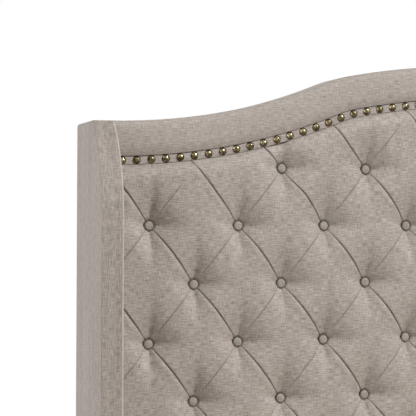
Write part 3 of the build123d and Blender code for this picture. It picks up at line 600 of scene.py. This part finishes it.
def field_depth(x, z, u, v):
    """The depth of the cloth behind the crown of the pillows."""
    pit = pit_depth(x, z, u, v)
    calm = np.clip(1 - pit / PIT_DEPTH, 0, 1)
    folds = (falling_fold(u, v) + fine_fold(u, v)) * (FOLD_IN_PITS + (1 - FOLD_IN_PITS) * calm)
    return np.maximum(pit + folds + swell(x, z) + FIELD_SETBACK, 0) + edge_depth(x, z)


def inside_field(x, z):
    """Above 0 inside the field, and about the distance to its edge."""
    sides = np.minimum(FIELD_HALF - np.abs(x), z - FIELD_BOTTOM)
    return np.minimum(sides, crest_height(x, TUFT_INSET) - z)


def graded_lattice(first, last):
    """Lattice numbers from one whole number to another, close together near the folds."""
    offsets = np.array(CREASE_OFFSETS) / SPACING
    one = np.concatenate([offsets, [0.5], 1 - offsets[:0:-1]])
    return np.concatenate([whole + one for whole in range(first, last)] + [[last]])


def grid_faces(index):
    """The faces of a grid of point numbers."""
    corners = [index[:-1, :-1], index[1:, :-1], index[1:, 1:], index[:-1, 1:]]
    return np.stack(corners, -1).reshape(-1, 4)


def clip_edge(a, b):
    """The place between an inside and an outside lattice place where the field ends."""
    low, high = 0.0, 1.0
    for _ in range(HALVINGS):
        middle = (low + high) / 2
        place = a + (b - a) * middle
        x, z = field_point(place[0:1], place[1:2])
        if inside_field(x, z)[0] > 0:
            low = middle
        else:
            high = middle
    return a + (b - a) * low


def clipped_faces(places, quads):
    """The faces inside the field, with those across its edge cut there. Adds the new places."""
    x, z = field_point(places[:, 0], places[:, 1])
    inside = inside_field(x, z) > 0
    held = inside[quads]
    crossing = held.any(1) & ~held.all(1)
    faces = [tuple(quad) for quad in quads[held.all(1)]]
    added, extra = {}, []
    for quad, flags in zip(quads[crossing], held[crossing]):
        face = []
        for index in range(4):
            here, following = quad[index], quad[(index + 1) % 4]
            if flags[index]:
                face.append(here)
            if flags[index] != flags[(index + 1) % 4]:
                key = (min(here, following), max(here, following))
                if key not in added:
                    start, end = (here, following) if flags[index] else (following, here)
                    added[key] = len(places) + len(extra)
                    extra.append(clip_edge(places[start], places[end]))
                face.append(added[key])
        if len(face) > 2:
            faces.append(tuple(face))
    return np.vstack([places, np.array(extra)]), faces


def close_back(mesh, depth):
    """Carry the open edge of a front back to a depth, and close it there."""
    work = bmesh.new()
    work.from_mesh(mesh)
    loose = [vertex for vertex in work.verts if not vertex.link_faces]
    bmesh.ops.delete(work, geom=loose, context="VERTS")
    bmesh.ops.remove_doubles(work, verts=work.verts, dist=MERGE_DISTANCE)
    rim = [edge for edge in work.edges if edge.is_boundary]
    made = bmesh.ops.extrude_edge_only(work, edges=rim)["geom"]
    for item in made:
        if isinstance(item, bmesh.types.BMVert):
            item.co.y = depth
    rim = [edge for edge in work.edges if edge.is_boundary]
    bmesh.ops.triangle_fill(work, use_beauty=False, use_dissolve=False, edges=rim)
    work.to_mesh(mesh)
    work.free()


def tufting():
    """The tufted field as one closed piece."""
    along = graded_lattice(LATTICE_FIRST, LATTICE_LAST)
    grid_u, grid_v = np.meshgrid(along, along, indexing="ij")
    places = np.stack([grid_u.ravel(), grid_v.ravel()], 1)
    places, faces = clipped_faces(places, grid_faces(np.arange(grid_u.size).reshape(grid_u.shape)))
    u, v = places[:, 0], places[:, 1]
    x, z = field_point(u, v)
    y = Y_TUFT + field_depth(x, z, u, v)
    mesh = bpy.data.meshes.new("tufting")
    mesh.from_pydata(np.stack([x, y, z], 1).tolist(), [], faces)
    close_back(mesh, Y_PLY)
    piece = dress(new_object("tufting", mesh), linen_level)
    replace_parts(piece, "tufted_panel")
    return piece


# Buttons and their ties

BUTTON_PROFILE = (  # radius, and how far in front of the seat
    (0.0, 0.0052), (0.0025, 0.0051), (0.0050, 0.0049), (0.0070, 0.0045), (0.0080, 0.0040),
    (0.0085, 0.0032), (0.0087, 0.0030), (0.0089, 0.0035), (0.0092, 0.0040), (0.0096, 0.0039),
    (0.0100, 0.0033), (0.0102, 0.0026), (0.0102, 0.0),
)
BUTTON_SHADE_RING = 0.0085
BUTTON_SIDES = 28
BUTTON_ROWS = range(12)
BUTTON_COLUMNS = range(-6, 6)
STRAND_RADIUS = 0.0006
STRAND_SIDES = 6
STRAND_STEPS = 18
STRAND_TWIST = 0.9
WASHER_RADIUS = 0.008
WASHER_THICK = 0.002
WASHER_BEVEL = 0.0008
WASHER_BEVEL_FRONT = 0.0005
WASHER_BEVEL_BACK = 0.0003
WASHER_SIDES = 16


def button_places():
    """The places of the buttons, across the bed and up."""
    places = []
    for row in BUTTON_ROWS:
        shift = TUFT_PITCH / 2 if row % 2 == 0 else 0
        for column in BUTTON_COLUMNS:
            x, z = column * TUFT_PITCH + shift, TOP_ROW - row * ROW_PITCH
            if has_button(np.array([x]), np.array([z]))[0]:
                places.append((x, z))
    return places


def circle(radius, sides):
    """The places round a circle."""
    angles = [2 * math.pi * side / sides for side in range(sides)]
    return [(radius * math.cos(angle), radius * math.sin(angle)) for angle in angles]


def lathe(profile, sides):
    """Points and faces of a profile turned about the Y axis, from the axis to a flat end."""
    points, rings, faces = [], [], []
    for radius, forward in profile:
        count = 1 if radius == 0 else sides
        rings.append(list(range(len(points), len(points) + count)))
        points += [(x, -forward, z) for x, z in circle(radius, sides)[:count]]
    for inner, outer in zip(rings, rings[1:]):
        for side in range(sides):
            following = (side + 1) % sides
            if len(inner) == 1:
                faces.append((inner[0], outer[side], outer[following]))
            else:
                faces.append((inner[side], outer[side], outer[following], inner[following]))
    faces.append(tuple(rings[-1][::-1]))
    return np.array(points), faces


def tube_faces(start, steps, sides):
    """The faces of a tube of rings, with both ends closed."""
    faces = []
    for step in range(steps):
        for side in range(sides):
            following = (side + 1) % sides
            a, b = start + step * sides, start + (step + 1) * sides
            faces.append((a + side, a + following, b + following, b + side))
    last = start + steps * sides
    faces.append(tuple(range(start, start + sides)))
    faces.append(tuple(range(last, last + sides))[::-1])
    return faces


def repeated(points, faces, places, depth):
    """A shape repeated at places across the bed and up, at a depth."""
    moved = [points + np.array([x, depth, z]) for x, z in places]
    starts = range(0, len(places) * len(points), len(points))
    return np.vstack(moved), [tuple(start + i for i in face) for start in starts for face in faces]


def buttons():
    """The covered buttons, each a domed cap in a rim painted dark as painted shade of the gap round the cap.
    """
    places = button_places()
    points, faces = repeated(*lathe(BUTTON_PROFILE, BUTTON_SIDES), places, Y_SEAT)
    piece = piece_from("covered_buttons", points, faces, linen_cap)
    piece.data.materials.append(linen_ring_painted_shade)
    centres = np.array(places)
    # Faces beyond the ring's radius take the rim's painted shade.
    for polygon in piece.data.polygons:
        middle = polygon.center
        reach = np.hypot(centres[:, 0] - middle.x, centres[:, 1] - middle.z).min()
        polygon.material_index = 1 if reach > BUTTON_SHADE_RING else 0
    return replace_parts(piece, "tuft_buttons")


def strand(phase, front, back):
    """The points of one strand of twine, turned round its twin from front to back."""
    points = []
    for step in range(STRAND_STEPS + 1):
        y = front + (back - front) * step / STRAND_STEPS
        turn = phase + step * STRAND_TWIST
        centre_x, centre_z = STRAND_RADIUS * math.cos(turn), STRAND_RADIUS * math.sin(turn)
        points += [(centre_x + x, y, centre_z + z) for x, z in circle(STRAND_RADIUS, STRAND_SIDES)]
    return points


def ties():
    """The twine of each button, two strands twisted, and its washer behind the plywood."""
    low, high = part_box("button_ties")
    washer_front = high.y - WASHER_THICK
    points, faces = [], []
    for phase in (0.0, math.pi):
        faces += tube_faces(len(points), STRAND_STEPS, STRAND_SIDES)
        points += strand(phase, low.y, washer_front)
    flat = WASHER_RADIUS - WASHER_BEVEL
    profile = ((0.0, 0.0), (flat, 0.0), (WASHER_RADIUS, -WASHER_BEVEL_FRONT),
               (WASHER_RADIUS, WASHER_BEVEL_BACK - WASHER_THICK), (flat, -WASHER_THICK))
    turned, turned_faces = lathe(profile, WASHER_SIDES)
    faces += [tuple(i + len(points) for i in face) for face in turned_faces]
    points = np.vstack([np.array(points), turned + np.array([0, washer_front, 0])])
    points, faces = repeated(points, faces, button_places(), 0.0)
    piece = piece_from("twine_ties", points, faces, twine_finish)
    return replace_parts(piece, "button_ties")


# Bands along the crest

BORDER_CROWN = 0.0030
BORDER_BACK_ROUND = 0.002
BORDER_TOP_ROUND = 0.012
BORDER_FRONT_ROUND = 0.045
BORDER_ROLL_ROUND = 0.0012
BORDER_ROLL_WIDTH = 0.011
BORDER_ROLL_DEPTH = 0.0055
BORDER_CELL = 0.009
BORDER_STEP = 0.012
BAND_ROUND = 0.0008
BAND_CELL = 0.006
BAND_STEP = 0.010


def rounded(corners, steps):
    """A closed outline with each corner rounded. A corner is its inset, its depth and its radius."""
    outline = []
    for index, (inset, depth, radius) in enumerate(corners):
        here = np.array([inset, depth])
        if radius == 0:
            outline.append(here)
            continue
        before, after = (np.array(corners[n % len(corners)][:2]) - here for n in (index - 1, index + 1))
        before, after = before / np.linalg.norm(before), after / np.linalg.norm(after)
        half = math.acos(np.clip(before @ after, -1, 1)) / 2
        reach = radius / math.tan(half)
        centre = here + (before + after) / np.linalg.norm(before + after) * radius / math.sin(half)
        first, last = here + before * reach - centre, here + after * reach - centre
        for part in np.linspace(0, 1, steps + 1):
            way = first * (1 - part) + last * part
            outline.append(centre + way / np.linalg.norm(way) * radius)
    return np.array(outline)


def divided(outline, longest):
    """The same outline with its long runs divided."""
    points = []
    for here, following in zip(outline, np.roll(outline, -1, axis=0)):
        count = max(1, int(np.ceil(np.linalg.norm(following - here) / longest)))
        points += [here + (following - here) * index / count for index in range(count)]
    return np.array(points)


def along_crest(outline, step):
    """Points and faces of an outline of inset and depth, carried along the crest."""
    stations = crest_stations(step)
    points = [(x - out_x * inset, depth, z - out_z * inset)
              for (x, z), (out_x, out_z) in stations for inset, depth in outline]
    return np.array(points), tube_faces(0, len(stations) - 1, len(outline))


def border():
    """The padded border: a crowned front, wrapped over the crest and back to the frame."""
    corners = [
        (0.0, Y_FRAME_BACK, BORDER_BACK_ROUND), (0.0, Y_BORDER, BORDER_TOP_ROUND),
        (BORDER_WIDTH - BORDER_ROLL_WIDTH, Y_BORDER, BORDER_FRONT_ROUND),
        (BORDER_WIDTH, Y_BORDER + BORDER_ROLL_DEPTH, BORDER_ROLL_ROUND), (BORDER_WIDTH, Y_BOARD, 0.0),
        (CREST_WRAP, Y_BOARD, 0.0), (CREST_WRAP, Y_FRAME_BACK, 0.0),
    ]
    outline = divided(rounded(corners, 8), BORDER_CELL)
    fall = 1 - np.sin(np.pi * np.clip(outline[:, 0] / BORDER_WIDTH, 0, 0.5))
    outline[:, 1] += BORDER_CROWN * fall * np.clip(1 - (outline[:, 1] - Y_BORDER) / BORDER_TOP_ROUND, 0, 1)
    points, faces = along_crest(outline, BORDER_STEP)
    piece = piece_from("border", points, faces, linen_border)
    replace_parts(piece, "border_pad")
    return piece


def nail_strip():
    """The flat fabric band under the nails."""
    top, bottom = BORDER_WIDTH + BAND_GAP, TUFT_INSET - BAND_GAP
    corners = [
        (top, Y_BAND, BAND_ROUND), (bottom, Y_BAND, BAND_ROUND), (bottom, Y_BOARD, 0.0), (top, Y_BOARD, 0.0),
    ]
    points, faces = along_crest(divided(rounded(corners, 3), BAND_CELL), BAND_STEP)
    piece = piece_from("nail_strip", points, faces, linen_level)
    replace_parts(piece, "nail_band")
    return piece


# Padded boards: the wings, the rails, the footboard and the lower panel

SPREAD_SHARES = (0, 0.15, 0.35, 0.6, 0.9, 1.3, 2.0, 3.2)
SPREAD_ENDS = 2.2
SPREAD_CELL = 0.03
CROWN_RUN = 0.05
WALL_LEVELS = 4
ROUND_ROWS = 7


def spread(length, edge):
    """Distances along a length, close together near both ends."""
    near = [share * edge for share in SPREAD_SHARES if share * edge < length / SPREAD_ENDS]
    rest = length - 2 * near[-1]
    count = max(1, int(rest / SPREAD_CELL))
    middle = [near[-1] + rest * index / count for index in range(1, count)]
    return np.array(near + middle + [length - distance for distance in near[::-1]])


def outline_distance(points, outline):
    """The distance of each point from a closed outline."""
    best = np.full(len(points), np.inf)
    for here, following in zip(outline, np.roll(outline, -1, axis=0)):
        run = following - here
        part = np.clip((points - here) @ run / max(run @ run, 1e-12), 0, 1)
        gap = np.linalg.norm(points - (here + part[:, None] * run), axis=1)
        best = np.minimum(best, gap)
    return best


def plan_grid(rows, corner):
    """A grid of places over rows of a height, a front and a back, close together near the edges."""
    longest = max(back - front for height, front, back in rows)
    shares = spread(longest, corner) / longest
    return np.array([[(front + (back - front) * share, height) for share in shares]
                     for height, front, back in rows])


def grid_rim(rows, columns):
    """The places round the edge of a grid, one after the other."""
    return ([(0, j) for j in range(columns)] + [(i, columns - 1) for i in range(1, rows)]
            + [(rows - 1, j) for j in range(columns - 2, -1, -1)]
            + [(i, 0) for i in range(rows - 2, 0, -1)])


def board(name, rows, low, high, corner, crown, axes, material, turned=False):
    """A padded board. Each row of its plan is a height, a front and a back. It is thick from low to high.

    axes gives the frame's axis of the plan's run, of its height and of the thickness. corner is the radius of
    its edges, and crown how far its two faces stand out in the middle."""
    plan = plan_grid(rows, corner)
    flat = plan.reshape(-1, 2)
    index = np.arange(len(flat)).reshape(plan.shape[:2])
    rim = grid_rim(*index.shape)
    gap = outline_distance(flat, np.array([plan[place] for place in rim]))
    roll = corner * (1 - np.sqrt(1 - (1 - np.clip(gap / corner, 0, 1)) ** 2))
    rise = 1 - np.exp(-np.clip(gap - corner, 0, None) / CROWN_RUN)
    layers, faces = [], []
    for side, bulge in zip((-1, 1), crown):
        across = (low + high) / 2 + side * ((high - low) / 2 - roll - bulge + bulge * rise)
        faces += list(grid_faces(index + len(layers) * len(flat)))
        layers.append(np.column_stack([flat, across]))
    loop = np.array([index[place] for place in rim])
    first, last = layers[0][loop], layers[1][loop]
    loops = [loop]
    for level in range(1, WALL_LEVELS):
        part = level / WALL_LEVELS
        loops.append(sum(len(layer) for layer in layers) + np.arange(len(rim)))
        layers.append(first * (1 - part) + last * part)
    loops.append(loop + len(flat))
    for near, far in zip(loops, loops[1:]):
        faces += list(zip(near, np.roll(near, -1), np.roll(far, -1), far))
    points = np.vstack(layers)
    placed = np.zeros(points.shape)
    placed[:, list(axes)] = points
    piece = piece_from(name, placed, faces, material, turned)
    return piece


WING_NOSE_DROP = 0.180
WING_NOSE_RADIUS = 0.231
WING_BACK_ROUND = 0.008
WING_CORNER = 0.003
WING_CROWN = 0.0012
WING_ROWS = 36
WING_NOSE_ROWS = 26
WING_FACE = 0.75
WELT_STEPS = 60
WELT_NOSE_STEPS = 30
WELT_SIDES = 12
RAIL_CORNER = 0.004
RAIL_CROWN = 0.001
FOOT_CORNER = 0.010
FOOT_CROWN = 0.0015
PAD_CORNER = 0.003
PAD_CROWN = 0.0005


def drawn_in(height, start, radius):
    """How far an edge is drawn in at a height by an arc that starts upright."""
    rise = max(height - start, 0)
    return radius - math.sqrt(max(radius**2 - rise**2, 0))


def wing(side, node_name):
    """One wing's padded cover: its side faces painted a little lighter as painted light from the side, and
    the strip round its edge painted darker as painted shade.
    """
    nose_start = wing_high.z - WING_NOSE_DROP
    back_start = wing_high.z - WING_BACK_ROUND
    heights = list(np.linspace(wing_low.z, nose_start, WING_ROWS))
    angles = np.linspace(0, math.pi / 2, WING_NOSE_ROWS)[1:]
    heights += [nose_start + WING_NOSE_DROP * math.sin(angle) for angle in angles]
    rows = [(height, wing_low.y + drawn_in(height, nose_start, WING_NOSE_RADIUS),
             wing_high.y - drawn_in(height, back_start, WING_BACK_ROUND)) for height in heights]
    low, high = sorted((side * WING_INNER, side * wing_high.x))
    crown = (WING_CROWN, 0.0) if side < 0 else (0.0, WING_CROWN)
    piece = board(f"{node_name}_fabric", rows, low, high, WING_CORNER, crown, (1, 2, 0), linen_upright_painted_light, True)
    piece.data.materials.append(linen_boxing_painted_shade)
    # Faces turned more to the front, top or back take the darker painted shade; side faces take the lighter
    # painted light.
    for polygon in piece.data.polygons:
        polygon.material_index = 1 if abs(polygon.normal.x) < WING_FACE else 0
    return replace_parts(piece, node_name)


def welt(node_name):
    """The cord covered in fabric up the inner front edge of a wing."""
    low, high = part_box(node_name)
    radius = (high.x - low.x) / 2
    centre = (low.x + high.x) / 2
    inset = low.y + radius - wing_low.y
    nose_start = wing_high.z - WING_NOSE_DROP
    reach = WING_NOSE_RADIUS - inset
    end = math.asin(min(1, (high.z - radius / 2 - nose_start) / reach))
    line = [(wing_low.y + inset, z) for z in np.linspace(low.z, nose_start, WELT_STEPS)]
    line += [(wing_low.y + WING_NOSE_RADIUS - reach * math.cos(a), nose_start + reach * math.sin(a))
             for a in np.linspace(0, end, WELT_NOSE_STEPS)[1:]]
    line = np.array(line)
    ways = np.gradient(line, axis=0)
    ways /= np.linalg.norm(ways, axis=1)[:, None]
    points, ring = [], circle(radius, WELT_SIDES)
    for (y, z), (way_y, way_z) in zip(line, ways):
        points += [(centre + x, y - way_z * aside, z + way_y * aside) for x, aside in ring]
    faces = tube_faces(0, len(line) - 1, WELT_SIDES)
    # The cord's lighter linen is a painted highlight.
    piece = piece_from(f"{node_name}_cord", np.array(points), faces, linen_welt_painted_highlight, True)
    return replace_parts(piece, node_name)


def box_board(node_name, axes, corner, crown, top_round=0.0):
    """A padded board over a node's box."""
    low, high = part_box(node_name)
    run, up, thick = axes
    start = high[up] - top_round
    heights = list(low[up] + spread(high[up] - low[up], corner))
    if top_round:
        heights = [height for height in heights if height < start]
        heights += [start + top_round * math.sin(angle) for angle in np.linspace(0, math.pi / 2, ROUND_ROWS)]
    rows = []
    for height in heights:
        drawn = drawn_in(height, start, top_round)
        rows.append((height, low[run] + drawn, high[run] - drawn))
    piece = board(f"{node_name}_fabric", rows, low[thick], high[thick], corner, crown, axes, linen_level)
    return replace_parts(piece, node_name)


# Cloth and straps

SHEET_COLUMNS = 120
SHEET_ROWS = 90
SHEET_THICK = 0.0006
SHEET_SETBACK = 0.0012
SWAY_DEPTH = 0.0005
SWAY_RATES = (9.0, 4.0, 7.0)
FIXING_DEPTH = 0.0004
FIXING_RUN = 0.02
FIXING_RATE = 120.0
STRAP_WIDTH = 0.025
STRAP_STEPS = 260
STRAP_OUTLINE_SHARES = (
    (-0.5, 1.0), (-0.46, 1.0), (0.46, 1.0), (0.5, 1.0), (0.5, 0.2), (0.46, 0.0), (-0.46, 0.0), (-0.5, 0.2),
)


def rear_sheet():
    """The black dust cover stretched over the back, drawn slightly inward between its fixings."""
    low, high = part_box("rear_cover")
    across = np.linspace(low.x, high.x, SHEET_COLUMNS + 1)
    x, share = np.meshgrid(across, np.linspace(0, 1, SHEET_ROWS + 1), indexing="ij")
    top = crest_height(x, REAR_INSET)
    z = low.z + (top - low.z) * share
    edge = np.minimum(np.minimum(high.x - np.abs(x), z - low.z), top - z)
    folds = 0.5 + 0.5 * np.sin(x * FIXING_RATE) * np.sin(z * FIXING_RATE)
    rate_x, rate_z, rate_up = SWAY_RATES
    sway = SWAY_DEPTH * np.sin(x * rate_x + z * rate_z) * np.sin(z * rate_up)
    y = high.y - SHEET_SETBACK + sway - FIXING_DEPTH * folds * np.exp(-edge / FIXING_RUN)
    points = np.stack([x, y, z], -1).reshape(-1, 3)
    faces = grid_faces(np.arange(x.size).reshape(x.shape).T)
    piece = piece_from("dust_cover", points, faces, dust_finish)
    thick = piece.modifiers.new("thickness", "SOLIDIFY")
    thick.thickness = SHEET_THICK
    thick.offset = 0.0
    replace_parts(piece, "rear_cover")
    return piece


def straps():
    """The two webbing straps stapled under the slats."""
    low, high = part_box("slat_straps")
    points, faces = [], []
    for side in (1, -1):
        centre = side * (high.x - STRAP_WIDTH / 2)
        faces += tube_faces(len(points), STRAP_STEPS, len(STRAP_OUTLINE_SHARES))
        for y in np.linspace(low.y, high.y, STRAP_STEPS + 1):
            for x, z in STRAP_OUTLINE_SHARES:
                points.append((centre + x * STRAP_WIDTH, y, low.z + z * (high.z - low.z)))
    piece = piece_from("spacing_straps", np.array(points), faces, webbing_finish)
    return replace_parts(piece, "slat_straps")


# CAD nodes that stay, in their own finishes


def longest_axis(node_name):
    """The axis along which a node is longest."""
    low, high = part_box(node_name)
    return int(np.argmax(np.array(high - low)))


WOODS = (  # name, light, dark, roughness and grain
    ("timber", (0.60, 0.44, 0.27), (0.42, 0.27, 0.14), 0.6, 1.0),
    ("plywood", (0.64, 0.50, 0.33), (0.48, 0.34, 0.19), 0.6, 0.5),
    ("dark_wood", (0.075, 0.042, 0.024), (0.025, 0.013, 0.008), 0.3, 1.0),
)


def finish_nodes():
    """Give every CAD node that stays the finish of its slot, and wood a grain along the node."""
    slots = {part["node"]: part["material_slot"] for part in frame["record"]["subparts"]}
    woods = {kind[0]: [wood(kind[0], axis, *kind[1:]) for axis in range(3)] for kind in WOODS}
    finishes = {
        "zinc_steel": plain("zinc_steel", (0.60, 0.60, 0.57), 0.35, metallic=1.0, grain=500.0, depth=0.0001),
        "black_steel": plain("black_steel", (0.03, 0.03, 0.032), 0.45, grain=900.0, depth=0.0002),
        "nylon": plain("nylon", (0.05, 0.05, 0.052), 0.5, grain=600.0, depth=0.0002),
        "antique_brass": brass_finish,
        "linen": linen_level, "dust_cloth": dust_finish, "webbing": webbing_finish, "twine": twine_finish,
    }
    for name, thing in nodes.items():
        slot = slots[name]
        finish = woods[slot][longest_axis(name)] if slot in woods else finishes[slot]
        thing.data.materials.clear()
        thing.data.materials.append(finish)


# Floor, light and camera

FLOOR_REACH = 14.0
FLOOR_WHITE_START = 2.4
FLOOR_WHITE_END = 4.6
AMBIENT = 0.32
KEY_FROM = (0.56, -0.60, 0.56)
KEY_STRENGTH = 2.75
KEY_ANGLE = 9.0
FILL_FROM = (-0.92, -0.33, 0.22)
FILL_STRENGTH = 1.38
FILL_ANGLE = 50.0


def floor():
    """A wide pale floor that keeps the bed's shadow and turns into the white background away from the bed."""
    mesh = bpy.data.meshes.new("floor")
    corners = ((-1, -1), (1, -1), (1, 1), (-1, 1))
    mesh.from_pydata([(x * FLOOR_REACH, y * FLOOR_REACH, 0) for x, y in corners], [], [(0, 1, 2, 3)])
    thing = new_object("floor", mesh)
    material, tree, shader = new_material("pale_floor")
    connect(tree, shader, (0.86, 0.86, 0.86, 1.0), 0.9)
    place = node(tree, "ShaderNodeTexCoord").outputs["Object"]
    away = node(tree, "ShaderNodeVectorMath", {0: place}, operation="LENGTH").outputs["Value"]
    ends = {0: away, 1: FLOOR_WHITE_START, 2: FLOOR_WHITE_END, 3: 0.0, 4: 1.0}
    share = node(tree, "ShaderNodeMapRange", ends, interpolation_type="SMOOTHSTEP").outputs[0]
    white = node(tree, "ShaderNodeEmission", {"Color": (1.0, 1.0, 1.0, 1.0), "Strength": 1.0})
    factor = maths(tree, "MULTIPLY", share, seen_ray(tree))
    mixed = node(tree, "ShaderNodeMixShader", {0: factor, 1: shader.outputs[0], 2: white.outputs[0]})
    tree.links.new(mixed.outputs[0], tree.nodes["Material Output"].inputs[0])
    mesh.materials.append(material)


def seen_ray(tree):
    """1 for a ray that shows the background: from the camera, off gloss or through glass."""
    rays = node(tree, "ShaderNodeLightPath").outputs
    seen = maths(tree, "MAXIMUM", rays["Is Camera Ray"], rays["Is Glossy Ray"])
    return maths(tree, "MAXIMUM", seen, rays["Is Transmission Ray"])


def world():
    """White behind the bed and a plain soft light from all round."""
    sky = bpy.data.worlds.new("studio")
    sky.use_nodes = True
    tree = sky.node_tree
    tree.nodes.clear()
    light = node(tree, "ShaderNodeBackground", {"Color": (1.0, 0.99, 0.98, 1.0), "Strength": AMBIENT})
    white = node(tree, "ShaderNodeBackground", {"Color": (1.0, 1.0, 1.0, 1.0), "Strength": 1.0})
    mixed = node(tree, "ShaderNodeMixShader", {0: seen_ray(tree), 1: light.outputs[0], 2: white.outputs[0]})
    node(tree, "ShaderNodeOutputWorld", {0: mixed.outputs[0]})
    bpy.context.scene.world = sky


def sun(name, source, strength, angle):
    """A distant lamp that shines from a direction."""
    data = bpy.data.lights.new(name, "SUN")
    data.energy = strength
    data.angle = math.radians(angle)
    lamp = new_object(name, data)
    lamp.rotation_mode = "QUATERNION"
    lamp.rotation_quaternion = Vector(source).to_track_quat("Z", "Y")


def camera():
    """The photograph's camera."""
    data = bpy.data.cameras.new("camera")
    data.sensor_width = CAMERA_SENSOR
    data.lens = CAMERA_LENS
    thing = new_object("camera", data)
    yaw, pitch, roll = (math.radians(a) for a in (CAMERA_YAW, CAMERA_PITCH, CAMERA_ROLL))
    forward = Vector((math.sin(yaw) * math.cos(pitch), math.cos(yaw) * math.cos(pitch), math.sin(pitch)))
    right = Vector((math.cos(yaw), -math.sin(yaw), 0))
    up = right.cross(forward)
    turned_right = right * math.cos(roll) + up * math.sin(roll)
    turned_up = up * math.cos(roll) - right * math.sin(roll)
    turn = Matrix((turned_right, turned_up, -forward)).transposed()
    thing.matrix_world = Matrix.Translation(CAMERA_PLACE) @ turn.to_4x4()
    bpy.context.scene.camera = thing


camera()
tufting()
buttons()
ties()
border()
nail_strip()
for sign, name in ((1, "right"), (-1, "left")):
    wing(sign, f"{name}_wing_cover")
    welt(f"{name}_wing_welt")
    inward = (0.0, RAIL_CROWN) if sign > 0 else (RAIL_CROWN, 0.0)
    box_board(f"{name}_side_rail_cover", (1, 2, 0), RAIL_CORNER, inward)
box_board("footboard_cover", (0, 2, 1), FOOT_CORNER, (FOOT_CROWN, 0.0), top_round=FOOT_CORNER)
box_board("lower_panel_pad", (0, 2, 1), PAD_CORNER, (PAD_CROWN, 0.0))
rear_sheet()
straps()
finish_nodes()
floor()
world()
sun("key", KEY_FROM, KEY_STRENGTH, KEY_ANGLE)
sun("fill", FILL_FROM, FILL_STRENGTH, FILL_ANGLE)
bpy.context.scene.view_settings.view_transform = "Standard"
